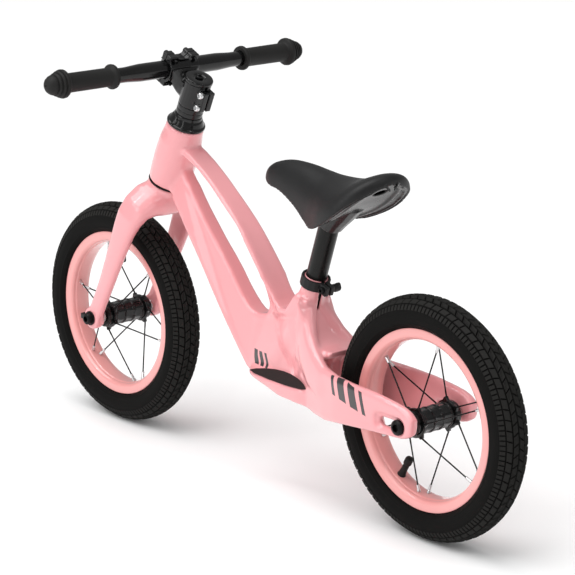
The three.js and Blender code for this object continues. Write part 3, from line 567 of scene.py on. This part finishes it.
def fold(mesh, line, depth):
    """Presses both sides in behind a line, which leaves a crease along it."""
    points = np.empty(len(mesh.vertices) * 3)
    mesh.vertices.foreach_get("co", points)
    points = points.reshape(-1, 3) / MM
    flat = points[:, ::2]
    nearest = np.full(len(points), 1e9)
    behind = np.zeros(len(points))
    ends = np.zeros(len(points))
    for number, (start, stop) in enumerate(zip(line, line[1:])):
        start, along = np.array(start, float), np.subtract(stop, start).astype(float)
        share = ((flat - start) @ along) / (along @ along)
        held = np.clip(share, 0, 1)
        away = flat - start - held[:, None] * along
        gap = np.hypot(*away.T)
        closer = gap < nearest
        nearest[closer] = gap[closer]
        side = np.sign(along[0] * away[:, 1] - along[1] * away[:, 0])
        behind[closer] = (-side * gap)[closer]
        ends[closer] = ((number + held) / (len(line) - 1))[closer]
    press = np.clip(behind / FOLD_RISE, 0, 1) * np.clip(1 - behind / FOLD_FADE, 0, 1)
    press *= np.clip(ends * 6, 0, 1) * np.clip((1 - ends) * 8, 0, 1)
    width = np.abs(points[:, 1])
    press *= np.clip((width - FOLD_FREE_HALF) / FOLD_FREE_FADE, 0, 1)
    points[:, 1] -= np.sign(points[:, 1]) * press * depth
    mesh.vertices.foreach_set("co", (points * MM).ravel())
    print("pressed in", int((press > 0.05).sum()), "points behind the fold")


def ream(piece):
    """Moves the wall of the seat post's bore out to one radius."""
    back = SEAT.inverted()
    for vert in piece.data.vertices:
        x, y, z = (back @ vert.co) / MM
        reach = math.hypot(x, y)
        in_depth = BORE_FLOOR < z < BORE_MOUTH
        if in_depth and BORE_RADIUS - BORE_WALL < reach < BORE_RADIUS:
            grow = BORE_RADIUS / reach
            vert.co = SEAT @ (Vector((x * grow, y * grow, z)) * MM)


frame_casting = cast("frame_casting", "frame", "frame", frame_paint, 1.5, 22)
ream(frame_casting)
fold(frame_casting.data, FOLD_LINE, FOLD_DEPTH)
cast("fork_casting", "fork", "steering", fork_paint, 1.5, 18)


# %% [markdown]
# ## Tyres
# A tyre is a ring with a section like a horseshoe. The section is spun in 144 steps, so its
# tread band is already divided into small faces. Pairs of faces are joined into blocks, each
# row is shifted by a step against its neighbour, and one inset with a height raises all the
# blocks together and leaves the grooves between them. Two rings are turned a little against
# the others, which slants the blocks into a zigzag.

# %% Tyre section and tread
TYRE_STEPS = 144
SECTION_MIDDLE, SECTION_HIGH, SECTION_WIDE = 122.3, 21.2, 21.6
TREAD_ANGLES = [-70, -48, -28, -9.5, 9.5, 28, 48, 70]  # round the section, degrees
TREAD_TWIST = [0, 0, 1.1, -1.1, 1.1, -1.1, 0, 0]  # degrees round the axle
ROW_SHIFT = [None, 0, 1, 0, 1, 0, None]  # None is a row of single ribs
BLOCK_HEIGHT = [1.3, 2.0, 2.4, 2.5, 2.4, 2.0, 1.3]


def on_section(angle):
    turn_angle = math.radians(angle)
    return (SECTION_MIDDLE + SECTION_HIGH * math.cos(turn_angle),
            SECTION_WIDE * math.sin(turn_angle))


def tyre_profile():
    """The closed section, from one bead over the tread to the other and back inside."""
    side = [on_section(a) for a in (76, 86, 96, 106)]
    bead = [(115.2, 20.6), (114.4, 20.75), (113.6, 20.2), (111.2, 18.2), (109.6, 16.0),
            (108.7, 13.3), (102.4, 12.3), (101.9, 9.9)]
    inside = [(SECTION_MIDDLE + 18.6 * math.cos(math.radians(a)),
               17.8 * math.sin(math.radians(a))) for a in (140, 110, 80, 50, 22)]
    half = side + bead + inside
    tread = [on_section(a) for a in TREAD_ANGLES]
    return tread + half + [(r, -h) for r, h in reversed(half)]


def tyre(end):
    shape = turned(tyre_profile(), TYRE_STEPS)
    step = 2 * math.pi / TYRE_STEPS
    rings = [on_section(a) for a in TREAD_ANGLES]

    def ring_of(vert):
        reach = math.hypot(vert.co.x, vert.co.y)
        for number, (r, h) in enumerate(rings):
            if abs(reach - r * MM) < 1e-5 and abs(vert.co.z - h * MM) < 1e-5:
                return number
        return None

    ring = {vert: ring_of(vert) for vert in shape.verts}
    joined = []
    for edge in shape.edges:
        first, second = (ring[v] for v in edge.verts)
        if first is None or second is None or first == second:
            continue
        row = min(first, second)
        place = round(math.atan2(edge.verts[0].co.y, edge.verts[0].co.x) / step)
        if ROW_SHIFT[row] is not None and (place + ROW_SHIFT[row]) % 2:
            joined.append(edge)
    for vert, number in ring.items():
        if number is not None and TREAD_TWIST[number]:
            twist = Matrix.Rotation(math.radians(TREAD_TWIST[number]), 3, "Z")
            vert.co = twist @ vert.co
    rows = [[] for _ in BLOCK_HEIGHT]
    bmesh.ops.dissolve_edges(shape, edges=joined, use_verts=False)
    known = {vert: number for vert, number in ring.items() if vert.is_valid}
    for face in shape.faces:
        numbers = [known.get(v) for v in face.verts]
        if None not in numbers and max(numbers) - min(numbers) == 1:
            rows[min(numbers)].append(face)
    for row, height in zip(rows, BLOCK_HEIGHT):
        bmesh.ops.inset_individual(shape, faces=row, thickness=1.1 * MM,
                                   depth=height * MM, use_even_offset=True)
    for row in rows[2:5]:
        bmesh.ops.inset_individual(shape, faces=row, thickness=1.5 * MM,
                                   depth=-0.9 * MM, use_even_offset=True)
    return finished(f"{end}_tyre_tread", shape, f"{end}_wheel", tyre_skins[end],
                    (f"{end}_tyre",), AXLES[end], smooth=30)


for end in AXLES:
    made = tyre(end)
    print(made.name, len(made.data.polygons), "faces")

# %% [markdown]
# ## Rims
# The rim is one turned ring: two rounded lips that hold the tyre, a sloping side band, and a
# shallow step before the inner face, which catches the light as a thin line.

# %% Rims
RIM_HALF = [(93.6, 0.0), (93.6, 6.0), (94.0, 8.2), (95.0, 9.2), (95.3, 11.6), (96.4, 13.6),
            (98.4, 15.0), (100.4, 15.3), (106.6, 15.7), (108.2, 15.5), (108.6, 14.8),
            (108.2, 14.1), (101.5, 13.1), (97.6, 8.4), (97.2, 0.0)]


def rim(end):
    half = RIM_HALF[1:-1]
    profile = half + [RIM_HALF[-1]] + [(r, -h) for r, h in reversed(half)] + [RIM_HALF[0]]
    shape = turned(profile, 144)
    soften(shape, 0.5, 30)
    return finished(f"{end}_rim_ring", shape, f"{end}_wheel", rim_paint,
                    (f"{end}_rim",), AXLES[end])


for end in AXLES:
    print(rim(end).name, "done")

# %% [markdown]
# ## Hubs
# A hub is a turned barrel between two flanges. Each flange has six lobes, one for each of its
# spokes, so its circle is pushed outwards six times before it is given a thickness. The barrel
# is fluted between two raised bands, which breaks its reflection into stripes.

# %% Hubs, bearings and axles
FIRST_SPOKE = {"front": 10.8, "rear": 95.6}
FLANGE_Y, FLANGE_HALF = 26.0, 2.0
SIDES = {"left": 1, "right": -1}


def spoke_angle(end, side, index):
    """The angle of a spoke at its flange, and at the rim, from forward towards up."""
    first = FIRST_SPOKE[end] + 60 * index
    return first + SIDES[side] * 14, first + SIDES[side] * 2.7


def flange(end, side):
    """A six-lobed disc with rounded edges."""
    shape = bmesh.new()
    bmesh.ops.create_circle(shape, cap_ends=True, segments=120, radius=17.6 * MM)
    for vert in shape.verts:
        angle = -math.degrees(math.atan2(vert.co.y, vert.co.x))
        lobe = max(0.0, math.cos(math.radians(6 * (angle - spoke_angle(end, side, 0)[0]))))
        vert.co *= 1 + 3.4 / 17.6 * lobe ** 2
    raised = bmesh.ops.extrude_face_region(shape, geom=shape.faces[:])["geom"]
    tops = [v for v in raised if isinstance(v, bmesh.types.BMVert)]
    bmesh.ops.translate(shape, vec=(0, 0, 2 * FLANGE_HALF * MM), verts=tops)
    bmesh.ops.translate(shape, vec=(0, 0, (SIDES[side] * FLANGE_Y - FLANGE_HALF) * MM),
                        verts=shape.verts)
    return soften(shape, 0.7, 50)


BARREL_HALF = [(15.1, 5.4), (15.5, 6.2), (15.5, 8.0), (14.9, 8.8), (14.9, 19.6),
               (15.5, 20.4), (15.5, 22.6), (14.6, 24.2), (14.2, 28.2), (14.9, 29.4),
               (15.2, 30.4), (15.2, 34.0), (14.7, 34.9), (12.9, 35.0), (12.8, 27.0),
               (9.4, 26.8)]


def barrel():
    """The hub shell, fluted round its middle."""
    half = BARREL_HALF
    shape = turned(half + [(r, -h) for r, h in reversed(half)], 120)
    for vert in shape.verts:
        reach = math.hypot(vert.co.x, vert.co.y) / MM
        if 14.0 < reach < 15.3 and abs(vert.co.z) < 21 * MM:
            angle = math.atan2(vert.co.y, vert.co.x)
            scale = 1 - 0.055 * (0.5 + 0.5 * math.cos(8 * angle))
            vert.co.x *= scale
            vert.co.y *= scale
    return soften(shape, 0.3, 34)


def joined(*shapes):
    """Several shapes in one bmesh."""
    whole = bmesh.new()
    for shape in shapes:
        part = bpy.data.meshes.new("part")
        bmesh.ops.recalc_face_normals(shape, faces=shape.faces)
        shape.to_mesh(part)
        whole.from_mesh(part)
        shape.free()
        bpy.data.meshes.remove(part)
    return whole


BEARING = [(5.3, 27.2), (12.7, 27.2), (12.7, 34.6), (12.4, 34.9), (11.3, 34.9), (11.0, 34.3),
           (7.6, 34.3), (7.3, 34.9), (5.6, 34.9), (5.3, 34.6)]
AXLE_SPACER = [(5.3, 35.3), (8.6, 35.3), (9.0, 35.7), (9.0, 37.3), (7.7, 37.9), (7.7, 39.1),
               (9.0, 39.7), (9.0, 41.3), (8.6, 41.7), (5.3, 41.7)]

for end in AXLES:
    wheel = f"{end}_wheel"
    holder = "steering" if end == "front" else "frame"
    finished(f"{end}_hub_shell", joined(barrel(), flange(end, "left"), flange(end, "right")),
             wheel, gloss_black, (f"{end}_hub",), AXLES[end])
    for side, sign in SIDES.items():
        place = AXLES[end] if sign > 0 else AXLES[end] @ FLIP_Z
        finished(f"{end}_race_{side}", turned(BEARING), wheel, black_steel,
                 (f"{end}_bearing_{side}",), place)
        finished(f"{end}_collar_{side}", soften(turned(AXLE_SPACER), 0.15), holder,
                 bright_steel, (f"{end}_axle_spacer_{side}",), place)
    print(end, "hub done")

# %% [markdown]
# ## Spokes, nipples and valves
# Each wheel has twelve straight spokes, six to a side. A spoke is a thin rod from a flange
# lobe to the rim, with a flat head at the hub and a bright nipple at the rim. Both are turned
# once along Z and then turned to lie between their two ends, so no angle has to be guessed.


# %% Spokes, nipples and valves
def between(start, end):
    """A frame at start whose Z points at end, and the distance, in millimetres."""
    along = Vector(end) - Vector(start)
    rotation = along.to_track_quat("Z", "Y").to_matrix().to_4x4()
    return moved(*start) @ rotation, along.length


def on_wheel(radius, angle, across):
    """A point in a wheel's own frame; the angle runs from forward towards up."""
    turn_angle = math.radians(-angle)
    return (radius * math.cos(turn_angle), radius * math.sin(turn_angle), across)


def spoke_pair(end, side, index):
    """One spoke with its head, and its nipple."""
    at_hub, at_rim = spoke_angle(end, side, index)
    sign = SIDES[side]
    inner = on_wheel(19.0, at_hub, sign * (FLANGE_Y + 1.2))
    outer = on_wheel(93.6, at_rim, sign * 3.4)
    place, length = between(inner, outer)
    rod = turned([(0, -1.2), (1.0, -1.2), (1.05, 0), (1.05, 8), (0.9, 11), (0.9, length - 12),
                  (1.05, length - 9), (1.05, length), (0, length)], 12)
    bmesh.ops.transform(rod, matrix=place, verts=rod.verts)
    head = turned([(0, 0), (1.9, 0), (1.9, 0.5), (1.1, 1.3), (0, 1.5)], 16)
    bmesh.ops.transform(head, verts=head.verts, matrix=moved(*on_wheel(
        19.0, at_hub, sign * (FLANGE_Y + FLANGE_HALF))) @ (Matrix() if sign > 0 else FLIP_Z))
    nipple = turned([(1.1, length - 10.5), (1.55, length - 10.2), (1.75, length - 9.6),
                     (1.75, length - 4.2), (2.2, length - 3.4), (2.3, length + 0.2),
                     (1.1, length + 0.2)], 18)
    bmesh.ops.transform(nipple, matrix=place, verts=nipple.verts)
    return joined(rod, head), nipple


VALVE = [(0, 65.9), (2.9, 65.9), (4.4, 66.6), (5.0, 68.0), (5.0, 75.0), (4.5, 76.0),
         (3.3, 76.4), (3.3, 77.6), (3.9, 78.4), (3.9, 84.0), (4.3, 88.0), (4.6, 92.5),
         (5.4, 93.4), (5.4, 94.4), (4.2, 95.0), (4.2, 107.6), (0, 107.6)]
VALVE_ANGLE = {"front": 88, "rear": -60}


def valve(end):
    shape = turned(VALVE, 64)
    for vert in shape.verts:  # a knurled cap
        if vert.co.z < 76.2 * MM:
            angle = math.atan2(vert.co.y, vert.co.x)
            reach = math.hypot(vert.co.x, vert.co.y)
            if reach > 4 * MM:
                vert.co.xy *= 1 - 0.05 * (0.5 + 0.5 * math.cos(16 * angle))
    place, _ = between((0, 0, 0), on_wheel(1, VALVE_ANGLE[end], 0))
    bmesh.ops.transform(shape, matrix=place, verts=shape.verts)
    return shape


for end in AXLES:
    for side in SIDES:
        pairs = [spoke_pair(end, side, i) for i in range(6)]
        finished(f"{end}_spoke_set_{side}", joined(*(p[0] for p in pairs)), f"{end}_wheel",
                 black_steel, (f"{end}_spokes_{side}",), AXLES[end])
        finished(f"{end}_nipples_{side}", joined(*(p[1] for p in pairs)), f"{end}_wheel",
                 bright_steel, (), AXLES[end])
    finished(f"{end}_valve_stem", valve(end), f"{end}_wheel", soft_rubber,
             (f"{end}_valve",), AXLES[end])
    print(end, "spokes and valve done")


# %% [markdown]
# ## Bolts
# Every bolt on the bike has a round head with a hexagon socket. A head, its socket and its
# shank are one profile: the rings near the axis are then pulled onto a hexagon, which is
# simpler than cutting the socket out with a boolean and leaves clean faces.

# %% Bolts
def bolt(head_radius, head_height, shank_radius, shank_length, dome=0.25):
    """A bolt whose head starts at Z = 0; the shank runs down."""
    socket = head_radius * 0.52
    top = head_height
    profile = [(0, top * 0.35), (socket, top * 0.35), (socket, top), (socket + 0.35, top),
               (head_radius * 0.86, top * (1 - dome * 0.35)),
               (head_radius * 0.97, top * (1 - dome)), (head_radius, top * 0.55),
               (head_radius, 0), (shank_radius, 0), (shank_radius, -shank_length),
               (0, -shank_length)]
    shape = turned(profile, 48)
    shank = {v: v.co.copy() for v in shape.verts if v.co.z < 0.1 * top * MM}
    socket_head(shape, socket + 0.1, 1.1)
    for vert, point in shank.items():  # only the socket becomes a hexagon
        vert.co = point
    return shape


def along_y(x, y, z, sign=1):
    """A frame whose Z points left (or right, for -1)."""
    return moved(x, y, z) @ axes_at((1, 0, 0), (0, 0, -sign), (0, sign, 0), (0, 0, 0))


for side, sign in SIDES.items():
    finished(f"rear_bolt_{side}", bolt(9.2, 6.0, 3.0, 12, dome=0.3), "frame", black_steel,
             (f"rear_axle_bolt_{side}",),
             along_y(-AXLE_X, sign * 50.8, AXLE_Z, sign))
    finished(f"front_bolt_{side}", bolt(7.7, 6.0, 3.0, 12, dome=0.3), "steering", black_steel,
             (f"front_axle_bolt_{side}",),
             along_y(AXLE_X, sign * 57.1, AXLE_Z, sign))
    cut(f"front_tab_washer_{side}", f"front_axle_washer_{side}", "steering", black_steel,
        0.3)
ALONG_X = axes_at((0, 0, -1), (0, 1, 0), (1, 0, 0), (0, 0, 0))
for number, (across, up) in enumerate([(-15.5, -16), (-15.5, 16), (15.5, -16), (15.5, 16)], 1):
    finished(f"faceplate_screw_{number}", bolt(3.8, 3.5, 2.2, 22), "steering", black_steel,
             (f"faceplate_bolt_{number}",),
             STEER @ moved(51.9, across, 57.5 + up) @ ALONG_X)
for name, up in (("upper", 56), ("lower", 38)):
    finished(f"pinch_screw_{name}", bolt(4.2, 4.2, 2.2, 18), "steering", bright_steel,
             (f"stem_pinch_bolt_{name}",), STEER @ along_y(-21, 8.9, up))
finished("cap_screw", bolt(4.5, 2.9, 2.6, 24), "steering", black_steel,
         ("stem_cap_bolt",), STEER @ moved(0, 0, 67.9))
finished("clamp_screw", bolt(4.3, 3.1, 2.2, 17), "frame", black_steel,
         ("seat_clamp_bolt",), SEAT @ along_y(-21.6, 7.4, -8))
print("bolts done")

# %% [markdown]
# ## Headset, stem and bar
# The headset cover is a small skirt over the top bearing, the spacer and the stem's cap are
# rings, and the bar is a tube that is thicker where the stem grips it. All are turned. The
# stem itself is forged, so it is cast from its measured solid with a very fine grid, and the
# clamp round the bar is then drawn in between its four bolts.

# %% Headset, stem and bar
HEADSET_COVER = [(13.0, 0.4), (24.4, 0.4), (24.7, 0.9), (24.7, 2.6), (24.2, 3.4), (22.8, 4.2),
                 (21.6, 6.2), (20.2, 9.2), (18.8, 11.6), (18.0, 12.4), (17.8, 14.0),
                 (17.3, 16.2), (13.0, 16.4)]
SPACER = [(13.0, 16.8), (16.7, 16.8), (17.0, 17.2), (17.0, 22.6), (16.5, 23.0), (17.0, 23.4),
          (17.0, 29.3), (16.7, 29.7), (13.0, 29.7)]
CROWN_SEAL = [(14.2, -87.3), (26.0, -87.3), (26.4, -86.6), (26.0, -85.9), (14.2, -85.9)]
STEM_CAP = [(5.0, 64.2), (17.7, 64.2), (18.0, 64.6), (18.0, 67.4), (17.2, 68.6), (15.8, 68.9),
            (8.6, 68.9), (7.4, 67.7), (5.0, 67.5)]
BAR_HALF = [(11.1, 0), (11.1, 60), (10.9, 64), (9.7, 80), (9.5, 84), (9.5, 193.4), (8.9, 194)]


def to_the_axis(half):
    """A mirrored profile, closed on the axis at both ends."""
    far = [(r, -h) for r, h in reversed(half[1:])]
    return [(0, -half[-1][1])] + far + half[1:] + [(0, half[-1][1])]


finished("headset_skirt", soften(turned(HEADSET_COVER, 96), 0.2), "steering", gloss_black,
         ("headset_cover",), STEER)
finished("steerer_ring", soften(turned(SPACER, 96), 0.15), "steering", gloss_black,
         ("headset_spacer",), STEER)
finished("crown_ring", turned(CROWN_SEAL, 96), "steering", soft_rubber,
         ("crown_seal",), STEER)
finished("stem_top_cap", soften(turned(STEM_CAP, 96), 0.2), "steering", gloss_black,
         ("stem_cap",), STEER)
BAR = STEER @ moved(42, 0, 57.5) @ LEFTWARD
finished("bar_tube", soften(turned(to_the_axis(BAR_HALF), 96), 0.4, 40), "steering",
         gloss_black, ("handlebar",), BAR)
CLAMP_X, CLAMP_Z = 33.0, 57.5  # where the clamp starts, and the bar's height on the axis
CLAMP_LEFT_UP, CLAMP_LEFT_ACROSS = 13.6, 12  # how far from the bar's middle metal stays
CLAMP_REACH, CLAMP_FADE = 10.5, 4
WAIST_ACROSS, WAIST_UP = 5.5, 6.5


def waist(piece):
    """Draws in the four sides of the bar clamp between its bolts, which leaves an X."""
    back = STEER.inverted()
    for vert in piece.data.vertices:
        x, y, z = (back @ vert.co) / MM
        z -= CLAMP_Z
        share = min(1.0, max(0.0, (x - CLAMP_X) / CLAMP_FADE))
        open_y = max(0.0, 1 - (abs(y) / CLAMP_REACH) ** 4)
        open_z = max(0.0, 1 - (abs(z) / CLAMP_REACH) ** 4)
        if abs(z) > CLAMP_LEFT_UP:
            z = math.copysign(max(CLAMP_LEFT_UP, abs(z) - WAIST_UP * open_y * share), z)
        if abs(y) > CLAMP_LEFT_ACROSS:
            y = math.copysign(max(CLAMP_LEFT_ACROSS,
                                  abs(y) - WAIST_ACROSS * open_z * share), y)
        vert.co = STEER @ (Vector((x, y, z + CLAMP_Z)) * MM)


waist(cast("stem_forging", "stem", "steering", gloss_black, 0.75, 6))
waist(cast("bar_clamp_forging", "stem_faceplate", "steering", gloss_black,
           0.6, 6))

# %% [markdown]
# ## Grips
# Each grip is one moulded sleeve: a flange against the thumb, a slim middle and a mushroom
# end in three rings that protects the hand in a fall. The whole section fits one profile.

# %% Grips
GRIP = [(9.9, 100.5), (14.6, 100.5), (15.1, 101.2), (15.6, 103.4), (15.5, 105.2),
        (14.4, 106.6), (12.2, 108.2), (11.8, 109.5), (11.9, 140), (12.0, 172.6),
        (13.4, 174.2), (16.6, 175.3), (17.5, 176.6), (17.8, 179.0)]
GROOVES = [point for i in range(3) for point in
           ((17.5 - 2.1 * i, 180.6 + 4.7 * i), (14.6 - 2.0 * i, 181.1 + 4.7 * i),
            (14.4 - 2.0 * i, 182.9 + 4.7 * i), (16.6 - 2.1 * i, 183.4 + 4.7 * i))]
GRIP_END = [(11.6, 195.2), (9.2, 198.8), (6.0, 201.2), (1.2, 202.3), (1.1, 199.0), (0, 199.0)]
for side, sign in SIDES.items():
    sleeve = turned(GRIP + GROOVES + GRIP_END + [(0, 194.3), (9.9, 194.3)], 96)
    finished(f"rubber_grip_{side}", soften(sleeve, 0.35, 30), "steering", grip_rubber,
             (f"grip_{side}",), BAR if sign > 0 else BAR @ FLIP_Z)
print("grips done")

# %% [markdown]
# ## Seat post and clamp
# The post is a plain anodised tube. The clamp is a split ring with two ears, closed by a
# bolt and a wing nut that a parent turns by hand; ring and wing nut are cast.

# %% Seat post and clamp
# The hidden lower end stops 5 mm above the measured one.
POST = [(10.8, -70), (11.6, -70), (12.7, -67), (12.7, 100), (10.8, 100)]
finished("post_tube", turned(POST, 96), "seat", satin_black, ("seat_post",),
         SEAT)
cast("clamp_ring", "seat_clamp", "frame", dark_plastic, 0.55, 5)
cast("clamp_wing_nut", "seat_clamp_knob", "clamp_knob", dark_plastic, 0.4, 5)

# %% [markdown]
# ## Saddle
# The saddle is a hard shell under a foam cover. The cover is a sheet whose sections widen
# from a narrow nose to a broad tail: a grid is bent over those sections, closed at nose and
# tail, and given a thickness. A smooth curve through the sections keeps it fair between
# them. The shell is the measured one with a panel under it: a shallow dish with a rib on
# each side and an oval hole near the tail.

# %% Saddle
SADDLE = [(-1, 385, 1, 383), (-3, 389.5, 6, 381), (-8, 395.5, 11, 377.5),
          (-20, 402, 16, 374.5), (-44, 408, 20.5, 372), (-75, 408.5, 26, 361),
          (-103, 405.5, 34, 348.5), (-122, 403.5, 42, 344.5), (-148, 403.5, 52.5, 354.5),
          (-170, 407, 56, 367.5), (-187, 413.5, 53, 380.5), (-201, 418.5, 45, 391.5),
          (-211, 419.5, 31.5, 399.5), (-217, 416.5, 15, 405),
          (-218.6, 411, 1, 408)]  # x, top, half width, lower edge
SADDLE_LONG, SADDLE_ROUND, SADDLE_WALL = 96, 48, 4.2


def fair(stations, along):
    """A point on the smooth curve through the stations; along runs from 0 to 1."""
    spot = along * (len(stations) - 1)
    index = min(int(spot), len(stations) - 2)
    t = spot - index
    p = [Vector(stations[min(max(index + k, 0), len(stations) - 1)]) for k in (-1, 0, 1, 2)]
    return 0.5 * (2 * p[1] + (p[2] - p[0]) * t + (2 * p[0] - 5 * p[1] + 4 * p[2] - p[3]) * t ** 2
                  + (3 * p[1] - p[0] - 3 * p[2] + p[3]) * t ** 3)


def saddle_cover():
    """The cover as one sheet over the sections, with a rolled rim and a thickness."""
    shape = bmesh.new()
    bmesh.ops.create_grid(shape, x_segments=SADDLE_LONG, y_segments=SADDLE_ROUND, size=0.5)
    for vert in shape.verts:
        along, around = vert.co.x + 0.5, math.pi * (vert.co.y + 0.5)
        x, top, half, edge = fair(SADDLE, along)
        rise = max(0.0, math.sin(around)) ** 0.8
        vert.co = Vector((x, half * math.cos(around), edge + (top - edge) * rise)) * MM
    bmesh.ops.remove_doubles(shape, verts=shape.verts, dist=1e-5)
    bmesh.ops.recalc_face_normals(shape, faces=shape.faces)
    if sum(f.normal.z for f in shape.faces) < 0:
        bmesh.ops.reverse_faces(shape, faces=shape.faces)
    bmesh.ops.solidify(shape, geom=shape.faces[:], thickness=SADDLE_WALL * MM)
    return shape


PANEL_FROM, PANEL_TO = 0.30, 0.975  # the part of the sections that the panel covers
HOLE_X, HOLE_LONG, HOLE_WIDE = -196.0, 4.5, 9.0
DISH_EDGE, DISH_RISE, PANEL_THICK = 4.5, 5.0, 2.6
RIB_HEIGHT, RIB_PLACE, RIB_WIDTH = 2.4, 0.62, 0.07  # place and width as shares of the half


def saddle_panel():
    """The shell's underside: a shallow dish with a rib on each side and an oval hole."""
    shape = bmesh.new()
    bmesh.ops.create_grid(shape, x_segments=120, y_segments=80, size=0.5)
    for vert in shape.verts:
        along, across = vert.co.x + 0.5, 2 * vert.co.y
        x, top, half, edge = fair(SADDLE, PANEL_FROM + (PANEL_TO - PANEL_FROM) * along)
        dish = DISH_EDGE + DISH_RISE * (1 - across ** 2)
        rib = RIB_HEIGHT * math.exp(-((abs(across) - RIB_PLACE) / RIB_WIDTH) ** 2)
        height = min(edge + dish - rib, top - 3)
        vert.co = Vector((x, max(half - 2.5, 1) * across, height)) * MM
    hole = [v for v in shape.verts if math.hypot((v.co.x / MM - HOLE_X) / HOLE_LONG,
                                                 v.co.y / MM / HOLE_WIDE) < 1]
    bmesh.ops.delete(shape, geom=hole, context="VERTS")
    bmesh.ops.recalc_face_normals(shape, faces=shape.faces)
    if sum(f.normal.z for f in shape.faces) < 0:
        bmesh.ops.reverse_faces(shape, faces=shape.faces)
    bmesh.ops.solidify(shape, geom=shape.faces[:], thickness=PANEL_THICK * MM)
    return shape


cast("saddle_shell", "saddle_base", "seat", shell_plastic, 1.0, 5,
     shape=joined(copied("saddle_base"), saddle_panel()))
cover = cast("saddle_pad", "saddle_cover", "seat", saddle_skin, 1.2, 6,
             shape=saddle_cover())

# %% [markdown]
# ## Foot pads
# A pad of grippy rubber is let into the shelf over each chain stay, for the rider's feet when
# coasting. It is pressed from sheet, so it keeps its flat faces and gets a narrow bevel.

# %% Foot pads
for side in SIDES:
    cut(f"foot_pad_{side}", f"footrest_pad_{side}", "frame", pad_rubber, 0.3)

# %% [markdown]
# ## What stays as measured
# Pieces that sit inside others, such as inner tubes, the steerer and the axles, are right as
# they are and mostly hidden. They keep their measured shape and only get a finish.

# %% Finishes for the pieces that stay
STAYING = {"inner_tube": soft_rubber, "axle": black_steel, "steerer_tube": black_steel,
           "star_nut": bright_steel, "headset_upper_bearing": bright_steel,
           "headset_lower_bearing": bright_steel}
for name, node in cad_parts.items():
    if node.hide_render:
        continue
    skins = [skin for key, skin in STAYING.items() if name.endswith(key)]
    node.data.materials.clear()
    node.data.materials.append((skins or [black_steel])[0].material)
    print("stays as measured:", name)
